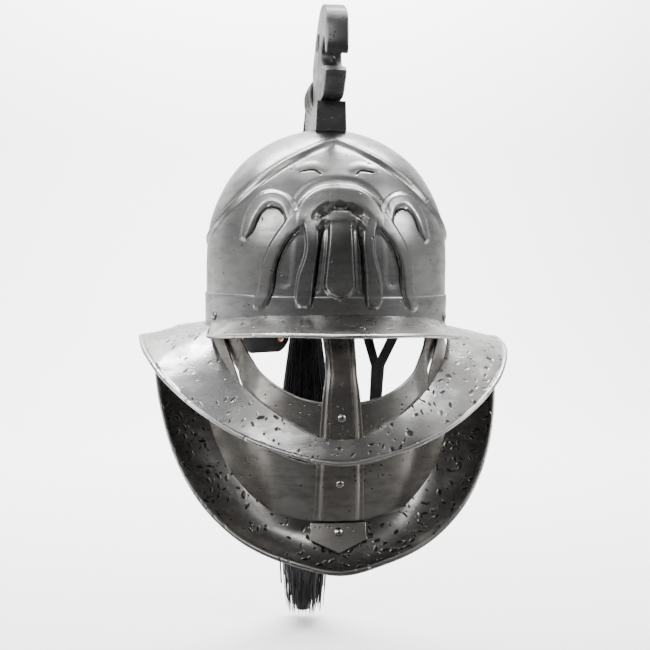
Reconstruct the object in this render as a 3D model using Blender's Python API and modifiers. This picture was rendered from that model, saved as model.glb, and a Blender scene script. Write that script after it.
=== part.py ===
"""Gladiator helmet in sheet steel, with a cast bird's-head crest and a horsehair plume.

Metres, +Z up. The wearer looks along -Y and +X is the wearer's left. The origin is the middle of
the crown's rim, where the helmet sits on the head. Angles are in degrees round the crown from the
face at 0 to the nape at 180. A section table's last columns are shares of the sizes named above it.
"""
import math

import bmesh
import bpy
from mathutils import Matrix, Vector

# Sheet and fits
SHEET = 0.0015
FIT = 0.0004
STATIONS = 48

# Crown
CROWN_HALF_WIDTH = 0.112
CROWN_HALF_LENGTH = 0.1144
CROWN_HEIGHT = 0.182
BAND_HEIGHT = 0.030
BAND_PROUD = 0.0012
RIDGE_RADIUS = 0.003
SLIT_RADIUS = 0.00125

# Visor peak
PEAK_REACH = 0.0656
PEAK_RISE = 0.015

# Brim
BRIM_WIDTH = 0.093
BRIM_DROP = 0.100
BRIM_SWELL = 0.006
HEM = 0.0024

# Face opening, chin wall and flange
FACE_REACH = 0.0271
WALL_REACH = 0.0231
WALL_DEPTH = 0.088
CHIN_REACH = 0.0161
CHIN_TOP = 0.106
CHIN_DEPTH = 0.153
FLANGE_REACH = 0.045
FLANGE_DEPTH = 0.187
FLANGE_DIP = 0.005
FLANGE_BEND = 0.58
FLANGE_TUCK = 0.0035
FLANGE_SEAT = 0.0012
FLANGE_END_RISE = 0.006

# Nose bar and its tip plate
BAR_HALF_WIDTH = 0.0205
BAR_THICK = 0.002
RIB = 0.0012
BAR_FLAT = 0.64
TIP_HALF_WIDTH = 0.023
TIP_THICK = 0.0016
TIP_SIDE = 0.015
TIP_POINT = 0.026

# Rivets
CROWN_RIVET = 0.0045
BAR_RIVET = 0.0036
RIVET_RISE = 0.0024
FRONT_RIVET_ANGLE = 66
FRONT_RIVET_HEIGHT = 0.0105
REAR_RIVET_ANGLE = 107
REAR_RIVET_HEIGHT = 0.0205

# Crest
BLOCK_HALF_WIDTH = 0.014
BLOCK_FRONT = -0.035
BLOCK_BACK = 0.0305
BLOCK_RISE = 0.0225
BLOCK_TOP = CROWN_HEIGHT + BLOCK_RISE
HEAD_HALF_WIDTH = 0.0095
HEAD_REACH = 0.081
HEAD_RISE = 0.0865
HEAD_EDGE = 0.0015
TONGUE_RADIUS = 0.0008
NECK_HALF_WIDTH = 0.0165
NECK_REACH = 0.188
NECK_RISE = 0.0415
NECK_HEIGHT = BLOCK_TOP + NECK_RISE
NECK_WALL = 0.0018
NECK_OPENING = 58
BRACKET_HALF_WIDTH = 0.012
BRACKET_TOP = 0.150
BRACKET_LOW = 0.101
BRACKET_SLOT = (0.011, 0.0055)
BRACKET_NECK_TOP = 0.170
BRACKET_NECK_LOW = 0.1245

# Plume
PLUME_HALF_WIDTH = 0.034
PLUME_HALF_DEPTH = 0.027
PLUME_REACH = 0.231
PLUME_DROP = 0.360
LOCKS = 9
TIE_HEIGHT = 0.039
TIE_WIDTH = 0.005

# Straps
LEATHER = 0.0022
STRAP_WIDTH = 0.014
STRAP_DROP = 0.115
STRAP_EASE = 0.004
KEEPER_THICK = 0.0018
KEEPER_HEIGHT = 0.008
KEEPER_RISE = 0.019
BUCKLE_WIDTH = 0.0205
BUCKLE_HEIGHT = 0.026
BUCKLE_WIRE = 0.0012
PRONG_RADIUS = 0.0009
EYE_GAP = 0.0004
FORK_JOINT = (0.062, 0.070, -0.048)
FORK_TAIL = 0.037
FORK_RIGHT = 127
FORK_LEFT = 153

# Crown sections from the rim up: height, half-width and half-length as shares
CROWN_SECTIONS = (
    (0.000, 0.995, 0.995),
    (0.165, 1.000, 1.000),
    (0.280, 1.000, 1.022),
    (0.400, 0.996, 1.040),
    (0.510, 0.975, 1.020),
    (0.610, 0.925, 0.950),
    (0.690, 0.865, 0.880),
    (0.765, 0.790, 0.790),
    (0.835, 0.690, 0.680),
    (0.895, 0.565, 0.550),
    (0.945, 0.420, 0.410),
    (0.982, 0.245, 0.240),
    (0.997, 0.090, 0.090),
)
# Peak edge: angle, seat height, reach and edge height as shares
PEAK_EDGE = (
    (0, 1.00, 1.000, 0.23),
    (15, 0.98, 0.875, 0.21),
    (30, 0.90, 0.683, 0.03),
    (45, 0.78, 0.460, -0.22),
    (57, 0.50, 0.245, -0.34),
    (67.5, 0.24, 0.035, 0.00),
)
# Brim inner edge: angle, reach and drop as shares
BRIM_INNER = (
    (0, 1.02, 0.82),
    (6, 1.04, 0.81),
    (12, 0.99, 0.77),
    (18, 0.90, 0.69),
    (30, 0.75, 0.53),
    (45, 0.525, 0.31),
    (60, 0.215, 0.105),
    (72, 0.00, -0.004),
    (90, 0.00, -0.004),
    (180, 0.00, -0.004),
)
# Brim outer edge: angle, reach, drop and swell as shares
BRIM_OUTER = (
    (0, 0.383, 1.00, 0.0),
    (15, 0.376, 0.94, 0.0),
    (30, 0.432, 0.82, 0.0),
    (45, 0.514, 0.63, 0.0),
    (60, 0.577, 0.42, 0.0),
    (75, 0.605, 0.255, 0.0),
    (90, 0.645, 0.165, 0.0),
    (102, 0.735, 0.145, 0.1),
    (111, 0.835, 0.165, 0.2),
    (120, 0.892, 0.170, 0.2),
    (135, 0.905, 0.100, 0.2),
    (150, 0.925, 0.090, 0.4),
    (165, 0.978, 0.180, 0.8),
    (180, 1.000, 0.260, 1.0),
)
# Face wall: angle, lower reach, lower depth, upper reach and upper depth as shares
FACE_WALL = (
    (0, 0.97, 1.00, 0.86, 0.64),
    (12, 0.97, 0.92, 0.86, 0.60),
    (18, 0.96, 0.83, 0.84, 0.545),
    (30, 0.85, 0.67, 0.56, 0.39),
    (36, 0.67, 0.58, 0.31, 0.28),
    (42, 0.34, 0.46, 0.10, 0.165),
    (48, -0.03, 0.38, -0.075, 0.035),
    (54, -0.125, 0.30, -0.125, -0.09),
    (60, -0.125, 0.20, -0.125, -0.17),
    (75, -0.125, 0.05, -0.125, -0.21),
)
# Chin wall: angle, upper reach, upper depth, lower reach and lower depth as shares
CHIN_WALL = (
    (0, 1.00, 1.00, 0.58, 1.00),
    (12, 1.00, 0.985, 0.60, 0.995),
    (24, 0.98, 0.905, 0.56, 0.97),
    (30, 0.88, 0.82, 0.47, 0.94),
    (36, 0.67, 0.66, 0.40, 0.90),
    (42, 0.38, 0.47, 0.36, 0.85),
    (48, 0.14, 0.32, 0.36, 0.79),
    (54, 0.01, 0.19, 0.38, 0.71),
    (60, -0.045, 0.04, 0.40, 0.62),
    (66, -0.045, -0.08, 0.44, 0.51),
    (75, -0.045, -0.13, 0.50, 0.375),
    (82.5, -0.045, -0.13, 0.57, 0.26),
)
# Chin flange edge: angle, reach and depth as shares
FLANGE_EDGE = (
    (0, 0.75, 1.00),
    (15, 0.71, 0.965),
    (30, 0.76, 0.90),
    (45, 0.905, 0.76),
    (60, 0.975, 0.555),
    (75, 0.995, 0.305),
    (84, 1.00, 0.17),
    (90, 1.00, 0.135),
)
# Nose bar face from the crown down: y and height as shares of the chin's front, half-width share
NOSE_BAR = (
    (0.8500, 0.085, 0.66),
    (0.8530, 0.004, 0.66),
    (0.8900, -0.045, 0.64),
    (0.9640, -0.105, 0.62),
    (1.0200, -0.190, 0.62),
    (1.0520, -0.300, 0.72),
    (1.0640, -0.420, 0.80),
    (1.0735, -0.535, 0.86),
    (1.0680, -0.590, 0.90),
    (1.0420, -0.655, 0.93),
    (1.0260, -0.705, 0.94),
    (1.0060, -0.820, 0.97),
    (0.9770, -0.985, 1.00),
)
# Brow ridge, both sides: angle and height share
BROW_RIDGE = ((0, 0.905), (12, 0.875), (24, 0.822), (40, 0.722), (56, 0.588), (75, 0.472), (99, 0.412))
# Keel down the back, broken by the neck's bracket: height shares
KEEL_BELOW_BRACKET = (0.280, 0.400, 0.510)
KEEL_ABOVE_BRACKET = (0.870, 0.895, 0.945)
# Cut slits of the forehead ornament, mirrored: angle and height share
SLITS = (
    ((16, 0.478), (20, 0.434), (23.5, 0.374), (26.3, 0.302), (27.8, 0.209), (30.7, 0.117)),
    ((6.6, 0.490), (8.2, 0.400), (9.4, 0.290), (10.4, 0.200), (11.6, 0.117)),
    ((24, 0.535), (26, 0.560), (30, 0.573), (33.5, 0.560), (35.5, 0.528), (37.5, 0.472), (41, 0.428)),
    ((8.7, 0.728), (12.5, 0.747), (19.6, 0.740)),
)
# Head outline from the block round over the beak: reach and height share
HEAD_OUTLINE = (
    (-0.506, 0.008), (-0.580, 0.017), (-0.667, 0.052), (-0.778, 0.133), (-0.889, 0.225),
    (-0.741, 0.295), (-0.642, 0.301), (-0.556, 0.295), (-0.457, 0.341), (-0.383, 0.410),
    (-0.358, 0.491), (-0.407, 0.572), (-0.506, 0.618), (-0.605, 0.618), (-0.716, 0.572),
    (-0.790, 0.503), (-0.827, 0.410), (-0.963, 0.376), (-1.000, 0.457), (-0.988, 0.595),
    (-0.963, 0.711), (-0.901, 0.792), (-0.802, 0.861), (-0.642, 0.931), (-0.457, 0.983),
    (-0.284, 1.000), (-0.123, 0.988), (0.062, 0.931), (0.247, 0.850), (0.420, 0.757), (0.580, 0.653),
    (0.736, 0.520), (0.652, 0.017), (0.531, 0.017), (0.383, 0.023), (0.309, 0.008),
)
EYE_PLACE = (0.025, 0.688)
EYE_TILT = -22
EYE_SIZE = (0.0018, 0.0115, 0.0062)
# Tongue from the throat to its tip: reach and height share
TONGUE = ((-0.365, 0.501), (-0.568, 0.439), (-0.772, 0.370))
# Neck stations: front reach and height, back reach and height, width as shares
NECK = (
    (0.287, 0.846, 0.319, 1.000, 0.78),
    (0.335, 0.825, 0.372, 0.980, 0.95),
    (0.356, 0.817, 0.394, 0.972, 1.00),
    (0.378, 0.809, 0.410, 0.947, 0.90),
    (0.441, 0.776, 0.489, 0.911, 0.84),
    (0.449, 0.772, 0.497, 0.909, 0.84),
    (0.521, 0.732, 0.569, 0.866, 0.80),
    (0.596, 0.679, 0.638, 0.813, 0.76),
    (0.670, 0.614, 0.729, 0.732, 0.72),
    (0.739, 0.537, 0.814, 0.634, 0.68),
    (0.793, 0.459, 0.883, 0.545, 0.66),
    (0.835, 0.374, 0.936, 0.427, 0.64),
    (0.872, 0.276, 0.979, 0.301, 0.62),
    (0.899, 0.175, 1.000, 0.175, 0.62),
    (0.915, 0.061, 1.000, 0.061, 0.64),
)
NECK_END = (0.915, -0.057, 1.000, -0.057, 0.64)
OPEN_FROM = 5
# Buckled strap from inside the crown down: height and inward share
STRAP_PATH = ((0.209, 0.05), (0.009, 0.05), (-0.174, 0.55), (-0.522, 0.875), (-0.904, 1.0))
# Plume stations by the neck: reach and height as shares of the neck's, half-width and half-depth
PLUME_TOP = (
    (0.521, 0.825, 0.315, 0.20),
    (0.548, 0.866, 0.22, 0.25),
    (0.585, 0.899, 0.26, 0.28),
    (0.654, 0.919, 0.28, 0.30),
    (0.729, 0.903, 0.30, 0.30),
    (0.809, 0.841, 0.32, 0.31),
    (0.893, 0.748, 0.36, 0.40),
    (0.973, 0.631, 0.40, 0.52),
    (1.037, 0.503, 0.42, 0.56),
    (1.085, 0.375, 0.40, 0.52),
    (1.112, 0.252, 0.36, 0.38),
    (1.122, 0.179, 0.32, 0.30),
    (1.130, 0.138, 0.32, 0.30),
    (1.176, 0.025, 0.42, 0.34),
)
# Plume stations below the rim: reach, drop, half-width and half-depth as shares
PLUME_TAIL = (
    (0.976, 0.078, 0.55, 0.42),
    (0.970, 0.178, 0.70, 0.50),
    (0.952, 0.278, 0.85, 0.66),
    (0.939, 0.389, 0.97, 0.86),
    (0.939, 0.500, 1.00, 1.00),
    (0.948, 0.625, 0.98, 1.00),
    (0.965, 0.750, 0.94, 0.98),
    (0.987, 0.875, 0.88, 0.94),
    (1.000, 1.000, 0.80, 0.86),
)
STEEL = ((0.42, 0.42, 0.43, 1), 0.32, 1.0)
DARK_STEEL = ((0.16, 0.16, 0.17, 1), 0.45, 1.0)
CAST = ((0.26, 0.28, 0.27, 1), 0.42, 1.0)
NICKEL = ((0.7, 0.68, 0.64, 1), 0.22, 1.0)
COPPER = ((0.62, 0.34, 0.22, 1), 0.3, 1.0)
HIDE = ((0.02, 0.02, 0.02, 1), 0.6, 0.0)
HAIR = ((0.01, 0.01, 0.012, 1), 0.5, 0.0)
THREAD = ((0.45, 0.05, 0.07, 1), 0.6, 0.0)


def clear_scene():
    """Remove what the startup file holds."""
    for obj in list(bpy.data.objects):
        bpy.data.objects.remove(obj)


def collection(name):
    """Return a new collection linked to the scene."""
    made = bpy.data.collections.new(name)
    bpy.context.scene.collection.children.link(made)
    return made


def material(name, finish):
    """Return a Principled material of the finish (colour, roughness, metallic)."""
    made = bpy.data.materials.new(name)
    made.use_nodes = True
    shader = made.node_tree.nodes["Principled BSDF"]
    shader.inputs["Base Color"].default_value = finish[0]
    shader.inputs["Roughness"].default_value = finish[1]
    shader.inputs["Metallic"].default_value = finish[2]
    return made


def table_value(table, column, at):
    """Read a column of a table at a value of its first column, smoothly and without overshoot."""
    keys = [row[0] for row in table]
    values = [row[column] for row in table]
    at = min(max(at, keys[0]), keys[-1])
    i = max(k for k in range(len(keys) - 1) if keys[k] <= at)
    slopes = [(values[k + 1] - values[k]) / (keys[k + 1] - keys[k]) for k in range(len(keys) - 1)]

    def tangent(k):
        if k in (0, len(keys) - 1):
            return 0.0 if keys[k] in (0, 180) else slopes[min(k, len(slopes) - 1)]
        a, b = slopes[k - 1], slopes[k]
        return 0.0 if a * b <= 0 else 2 * a * b / (a + b)

    span = keys[i + 1] - keys[i]
    t = (at - keys[i]) / span
    low, high = tangent(i) * span, tangent(i + 1) * span
    return ((2 * t**3 - 3 * t**2 + 1) * values[i] + (t**3 - 2 * t**2 + t) * low
            + (3 * t**2 - 2 * t**3) * values[i + 1] + (t**3 - t**2) * high)


def around(angle, radius, height):
    """Return the point at an angle from the face, a radius and a height."""
    turn = math.radians(angle)
    return Vector((radius * math.sin(turn), -radius * math.cos(turn), height))


def crown_radius(angle, height=0.0):
    """Return the crown's radius above its band's step, at an angle and a height."""
    share = height / CROWN_HEIGHT
    half_width = CROWN_HALF_WIDTH * table_value(CROWN_SECTIONS, 1, share)
    half_length = CROWN_HALF_LENGTH * table_value(CROWN_SECTIONS, 2, share)
    turn = math.radians(angle)
    return 1 / math.hypot(math.sin(turn) / half_width, math.cos(turn) / half_length)


def crown_off(angle, height, distance):
    """Return the point at a distance off the crown's outer surface."""
    small = 0.002
    slope = (crown_radius(angle, height - small) - crown_radius(angle, height + small)) / (2 * small)
    run = distance / math.hypot(1, slope)
    return around(angle, crown_radius(angle, height) + run, height + slope * run)


def rim_radius(angle, height=0.0):
    """Return the outer radius of the crown's lower band."""
    return crown_radius(angle, height) + BAND_PROUD


def new_object(name, mesh, group, finish, smooth=True):
    """Link an object with a mesh and a material."""
    obj = bpy.data.objects.new(name, mesh)
    group.objects.link(obj)
    mesh.materials.append(finish)
    if smooth:
        mesh.shade_smooth()
        mesh.set_sharp_from_angle(angle=math.radians(38))
    return obj


def grid_mesh(name, rows, wrap=False, pole=None):
    """Make an open surface through rows of points, closed round when wrap is set."""
    shape = bmesh.new()
    lines = [[shape.verts.new(point) for point in row] for row in rows]
    count = len(lines[0])
    for low, high in zip(lines, lines[1:]):
        for k in range(count if wrap else count - 1):
            n = (k + 1) % count
            shape.faces.new((low[k], low[n], high[n], high[k]))
    if pole is not None:
        tip = shape.verts.new(pole)
        for k in range(count):
            shape.faces.new((lines[-1][k], lines[-1][(k + 1) % count], tip))
    mesh = bpy.data.meshes.new(name)
    shape.to_mesh(mesh)
    shape.free()
    return mesh


def sheet(name, rows, group, finish, wrap=False, pole=None, thick=SHEET):
    """Make a metal sheet behind the surface through the rows of points."""
    obj = new_object(name, grid_mesh(name, rows, wrap, pole), group, finish)
    solid = obj.modifiers.new("Thickness", "SOLIDIFY")
    solid.thickness = thick
    solid.offset = -1
    solid.use_even_offset = True
    solid.thickness_clamp = 0
    return obj


def loft(name, sections, group, finish, smooth=True):
    """Join closed sections of equal point counts into a solid with flat ends."""
    shape = bmesh.new()
    rings = [[shape.verts.new(point) for point in section] for section in sections]
    for low, high in zip(rings, rings[1:]):
        for k in range(len(low)):
            n = (k + 1) % len(low)
            shape.faces.new((low[k], low[n], high[n], high[k]))
    shape.faces.new(list(reversed(rings[0])))
    shape.faces.new(rings[-1])
    bmesh.ops.recalc_face_normals(shape, faces=shape.faces)
    bmesh.ops.triangulate(shape, faces=[f for f in shape.faces if len(f.verts) > 4])
    mesh = bpy.data.meshes.new(name)
    shape.to_mesh(mesh)
    shape.free()
    return new_object(name, mesh, group, finish, smooth)


def wire(name, points, radius, group, finish, sides=1, cyclic=False):
    """Make a round wire along points as a closed mesh."""
    curve = bpy.data.curves.new(name, "CURVE")
    curve.dimensions = "3D"
    curve.bevel_depth = radius
    curve.bevel_resolution = sides
    curve.use_fill_caps = True
    spline = curve.splines.new("POLY")
    spline.points.add(len(points) - 1)
    for target, point in zip(spline.points, points):
        target.co = (*point, 1)
    spline.use_cyclic_u = cyclic
    obj = bpy.data.objects.new(name, curve)
    group.objects.link(obj)
    return as_mesh(obj, group, finish)


def as_mesh(obj, group, finish):
    """Replace a curve object by its welded mesh."""
    bpy.context.view_layer.update()
    name = obj.name
    mesh = bpy.data.meshes.new_from_object(obj.evaluated_get(bpy.context.evaluated_depsgraph_get()))
    place = obj.matrix_world.copy()
    bpy.data.objects.remove(obj)
    shape = bmesh.new()
    shape.from_mesh(mesh)
    bmesh.ops.remove_doubles(shape, verts=shape.verts, dist=0.00001)
    bmesh.ops.recalc_face_normals(shape, faces=shape.faces)
    shape.to_mesh(mesh)
    shape.free()
    mesh.materials.clear()
    mesh.name = name
    made = new_object(name, mesh, group, finish)
    made.matrix_world = place
    return made


def box_form(name, centre, size, group, finish, tilt=0):
    """Make a plain box of a size at a place, tilted about X."""
    mesh = bpy.data.meshes.new(name)
    shape = bmesh.new()
    bmesh.ops.create_cube(shape, size=1)
    shape.to_mesh(mesh)
    shape.free()
    obj = new_object(name, mesh, group, finish, smooth=False)
    obj.matrix_world = (Matrix.Translation(centre) @ Matrix.Rotation(math.radians(tilt), 4, "X")
                        @ Matrix.Diagonal((*size, 1)))
    return obj


def hide_helper(obj):
    """Mark an object as a helper that is no part of the helmet."""
    obj.hide_render = True
    obj.display_type = "WIRE"


def combine(obj, other, operation):
    """Add, or cut away, another closed mesh."""
    change = obj.modifiers.new(other.name, "BOOLEAN")
    change.operation = operation
    change.solver = "EXACT"
    change.object = other
    hide_helper(other)


def hemmed(inner, outer, hem=HEM, side=1):
    """Return the edge point and the curl that turns it back under the sheet."""
    along = (outer - inner).normalized()
    out = Vector((outer.x, outer.y, 0)).normalized()
    up = Vector((0, 0, 1))
    across = Vector((along.dot(up) * -out.x, along.dot(up) * -out.y, along.dot(out))).normalized() * side
    return [
        outer,
        outer + along * 0.75 * hem - across * 0.35 * hem,
        outer + along * 0.95 * hem - across * 1.15 * hem,
        outer + along * 0.30 * hem - across * 1.75 * hem,
    ]


def columns_to_rows(columns):
    """Turn lists of points across into lists of points along."""
    return [list(row) for row in zip(*columns)]


def angles(first, last):
    """Return the station angles from one angle to another, which every sheet shares."""
    step = 360 / STATIONS
    return [k * step for k in range(math.ceil(first / step), math.floor(last / step) + 1)]


def crown_wall_point(angle, share):
    """Return the crown's outer point at an angle and a share of the height."""
    height = share * CROWN_HEIGHT
    return around(angle, crown_radius(angle, height), height)


def make_crown(group, helpers, steel):
    """Make the domed bowl with its proud band, brow ridge, keel and cut slits."""
    turns = angles(-180, 179)
    rows = [[around(a, crown_radius(a, 0) + BAND_PROUD, 0) for a in turns],
            [around(a, crown_radius(a, BAND_HEIGHT) + BAND_PROUD, BAND_HEIGHT) for a in turns]]
    rows.append([around(a, crown_radius(a, BAND_HEIGHT), BAND_HEIGHT + BAND_PROUD) for a in turns])
    for share, _, _ in CROWN_SECTIONS[2:]:
        rows.append([crown_wall_point(a, share) for a in turns])
    crown = sheet("crown", rows, group, steel, wrap=True, pole=(0, 0, CROWN_HEIGHT))
    ridge_path = [crown_wall_point(-a, share) for a, share in reversed(BROW_RIDGE[1:])]
    ridge_path += [crown_wall_point(a, share) for a, share in BROW_RIDGE]
    combine(crown, wire("brow_ridge_form", ridge_path, RIDGE_RADIUS, helpers, steel), "UNION")
    for name, shares in (("keel_low_form", KEEL_BELOW_BRACKET), ("keel_top_form", KEEL_ABOVE_BRACKET)):
        keel = [crown_wall_point(180, share) for share in shares]
        combine(crown, wire(name, keel, RIDGE_RADIUS, helpers, steel), "UNION")
    for number, slit in enumerate(SLITS):
        for side in (-1, 1):
            path = [slit_point(side * a, share) for a, share in slit]
            cutter = wire(f"slit_cutter_{number}_{side + 1}", path, SLIT_RADIUS, helpers, steel)
            combine(crown, cutter, "DIFFERENCE")
    return crown


def slit_point(angle, share):
    """Return a point in the middle of the crown's wall."""
    height = share * CROWN_HEIGHT
    proud = BAND_PROUD if height < BAND_HEIGHT else 0.0
    return around(angle, crown_radius(angle, height) + proud - SHEET / 2, height)


def make_peak(group, steel):
    """Make the crescent visor with its turned-down edge."""
    columns = []
    for a in angles(-67.5, 67.5):
        edge = around(a, rim_radius(a) + FIT + PEAK_REACH * table_value(PEAK_EDGE, 2, abs(a)),
                      PEAK_RISE * table_value(PEAK_EDGE, 3, abs(a)))
        height = PEAK_RISE * table_value(PEAK_EDGE, 1, abs(a))
        slope = math.atan2(height - edge.z, math.hypot(edge.x, edge.y) - rim_radius(a))
        seat = around(a, rim_radius(a, height) + FIT + SHEET * math.sin(slope), height)
        middle = seat.lerp(edge, 0.5)
        columns.append([seat, middle] + hemmed(seat, edge, HEM * min(1, (edge - seat).length / (5 * HEM))))
    return sheet("peak", columns_to_rows(columns)[::-1], group, steel)


def brim_inner(angle):
    """Return the brim's inner edge point."""
    a = abs(angle)
    return around(angle, rim_radius(angle) + 2 * FIT + FACE_REACH * table_value(BRIM_INNER, 1, a),
                  -BRIM_DROP * table_value(BRIM_INNER, 2, a))


def brim_outer(angle):
    """Return the brim's outer edge point."""
    a = abs(angle)
    return around(angle, crown_radius(angle) + BRIM_WIDTH * table_value(BRIM_OUTER, 1, a),
                  -BRIM_DROP * table_value(BRIM_OUTER, 2, a))


def brim_middle(angle):
    """Return the point halfway across the brim."""
    middle = brim_inner(angle).lerp(brim_outer(angle), 0.5)
    middle.z += BRIM_SWELL * table_value(BRIM_OUTER, 3, abs(angle))
    return middle


def make_brim(group, steel):
    """Make the brim, which is a neck guard behind and a band across the face in front."""
    columns = []
    for a in angles(-180, 179):
        inner, outer = brim_inner(a), brim_outer(a)
        columns.append([inner, brim_middle(a)] + hemmed(brim_middle(a), outer))
    return sheet("brim", columns_to_rows(columns)[::-1], group, steel, wrap=True)


def wall_point(angle, reach_column, depth_column):
    """Return an outer point of the face wall."""
    a = abs(angle)
    return around(angle, crown_radius(angle) + WALL_REACH * table_value(FACE_WALL, reach_column, a),
                  -WALL_DEPTH * table_value(FACE_WALL, depth_column, a))


def make_face_wall(group, steel):
    """Make the upright wall round the face opening, its top edge rolled inwards."""
    columns = []
    for a in angles(-75, 75):
        low, high = wall_point(a, 1, 2), wall_point(a, 3, 4)
        inward = Vector((-high.x, -high.y, 0)).normalized()
        curl = [high + inward * HEM * 0.35 + Vector((0, 0, 0.5 * HEM)), high + inward * HEM * 1.1,
                high + inward * HEM * 1.15 - Vector((0, 0, 0.8 * HEM))]
        columns.append([low, low.lerp(high, 0.5), high] + curl)
    return sheet("face_wall", columns_to_rows(columns), group, steel, thick=SHEET * 0.8)


def chin_point(angle, reach_column, depth_column, depth):
    """Return an outer point of the chin wall."""
    a = abs(angle)
    return around(angle, crown_radius(angle) + CHIN_REACH * table_value(CHIN_WALL, reach_column, a),
                  -depth * table_value(CHIN_WALL, depth_column, a))


def chin_low(angle):
    """Return the chin wall's lower edge point."""
    return chin_point(angle, 3, 4, CHIN_DEPTH)


def chin_high(angle):
    """Return the chin wall's upper edge point."""
    return chin_point(angle, 1, 2, CHIN_TOP)


def chin_shoulder(angle):
    """Return the chin wall's point just under its upper edge and the crown's rim."""
    high = chin_high(angle)
    return Vector((high.x, high.y, min(high.z - SHEET, -3.5 * SHEET)))


def make_chin_wall(group, steel):
    """Make the wall in front of the chin, whose ends run up inside the crown."""
    columns = []
    for a in angles(-82.5, 82.5):
        low, shoulder = chin_low(a), chin_shoulder(a)
        columns.append([low, low.lerp(shoulder, 0.5), shoulder, chin_high(a)])
    return sheet("chin_wall", columns_to_rows(columns), group, steel)


def flange_seat(angle, below):
    """Return the flange's outer point behind the chin wall, at a distance below its edge."""
    low, shoulder = chin_low(angle), chin_shoulder(angle)
    up = (shoulder - low).normalized()
    out = Vector((low.x, low.y, 0)).normalized()
    inward = (out.dot(up) * Vector((0, 0, 1)) - up.z * out).normalized()
    rise = FLANGE_END_RISE * max(0.0, (abs(angle) - CHIN_WALL[-1][0]) / 10)
    return low + inward * (SHEET + 2 * FIT) - up * below + Vector((0, 0, rise))


def flange_edge(angle):
    """Return the flange's rim point."""
    a = abs(angle)
    return around(angle, crown_radius(angle) + FLANGE_REACH * table_value(FLANGE_EDGE, 1, a),
                  -FLANGE_DEPTH * table_value(FLANGE_EDGE, 2, a))


def make_chin_flange(group, steel):
    """Make the flare below the chin wall, with its rolled rim."""
    columns = []
    for a in angles(-90, 90):
        tuck, seat, edge = flange_seat(a, -FLANGE_TUCK), flange_seat(a, FLANGE_SEAT), flange_edge(a)
        middle = flange_middle(a)
        columns.append([tuck, seat, middle] + hemmed(middle, edge))
    return sheet("chin_flange", columns_to_rows(columns)[::-1], group, steel)


def flange_middle(angle):
    """Return the point halfway down the flare, hollowed towards the chin."""
    seat, edge = flange_seat(angle, FLANGE_SEAT), flange_edge(angle)
    chord = edge - seat
    out = Vector((edge.x, edge.y, 0)).normalized()
    down = Vector((out.x * chord.z, out.y * chord.z, -chord.dot(out))).normalized()
    front = max(0.0, math.cos(math.radians(angle)))
    return seat.lerp(edge, FLANGE_BEND) + down * FLANGE_DIP * (0.6 + 0.8 * front)


def bar_sections():
    """Return the sections of the ribbed nose bar from the crown down to the flange."""
    reach = CROWN_HALF_LENGTH + CHIN_REACH
    stations = [Vector((0, -reach * y, CHIN_DEPTH * z)) for y, z, _ in NOSE_BAR]
    sections = []
    for k, (place, row) in enumerate(zip(stations, NOSE_BAR)):
        before, after = stations[max(k - 1, 0)], stations[min(k + 1, len(stations) - 1)]
        along = (after - before).normalized()
        out = Vector((0, along.z, -along.y)).normalized()
        half = BAR_HALF_WIDTH * row[2]
        face = [(-1, 0), (-0.84, 0), (-0.74, RIB), (-BAR_FLAT, 0),
                (BAR_FLAT, 0), (0.74, RIB), (0.84, 0), (1, 0)]
        points = [(x * half, raised) for x, raised in face] + [(half, -BAR_THICK), (-half, -BAR_THICK)]
        sections.append([place + Vector((x, 0, 0)) + out * (raised - x * x / (2 * reach))
                         for x, raised in points])
    return sections


def bar_face(share):
    """Return the nose bar's outer point and outward direction at a depth share."""
    reach = CROWN_HALF_LENGTH + CHIN_REACH
    rows = sorted((z, y, width) for y, z, width in NOSE_BAR[3:])
    low = max((row for row in rows if row[0] <= share), key=lambda row: row[0])
    high = min((row for row in rows if row[0] > share), key=lambda row: row[0])
    t = (share - low[0]) / (high[0] - low[0])
    y = low[1] + t * (high[1] - low[1])
    along = Vector((0, -reach * (low[1] - high[1]), CHIN_DEPTH * (low[0] - high[0]))).normalized()
    out = Vector((0, along.z, -along.y)).normalized()
    flat = BAR_FLAT * BAR_HALF_WIDTH * (low[2] + t * (high[2] - low[2]))
    return Vector((0, -reach * y, CHIN_DEPTH * share)) - out * flat * flat / (2 * reach), out


def tip_line(share):
    """Return the flange's outer point under the tip plate, on the middle line."""
    seat, middle = flange_seat(0, FLANGE_SEAT), flange_middle(0)
    return seat.lerp(middle, share)


def make_tip_plate(group, steel):
    """Make the pointed plate at the end of the nose bar, lying on the flange."""
    seat, middle = tip_line(0), tip_line(1)
    run = (middle - seat).normalized()
    out = Vector((0, run.z, -run.y))
    rise = FIT + TIP_THICK
    reach = abs(seat.y)

    def place(x, down):
        return seat + run * down + Vector((x, 0, 0)) + out * (rise - 0.2 * x * x / reach)

    shares = (-1, -0.5, 0, 0.5, 1)
    first = 0.001
    rows = [[place(x * TIP_HALF_WIDTH, down) for x in shares] for down in (first, TIP_SIDE * 0.55)]
    rows.append([place(x * TIP_HALF_WIDTH, TIP_SIDE + (TIP_POINT - TIP_SIDE) * (1 - abs(x)))
                 for x in shares])
    return sheet("tip_plate", [row[::-1] for row in rows], group, steel, thick=TIP_THICK)


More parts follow.
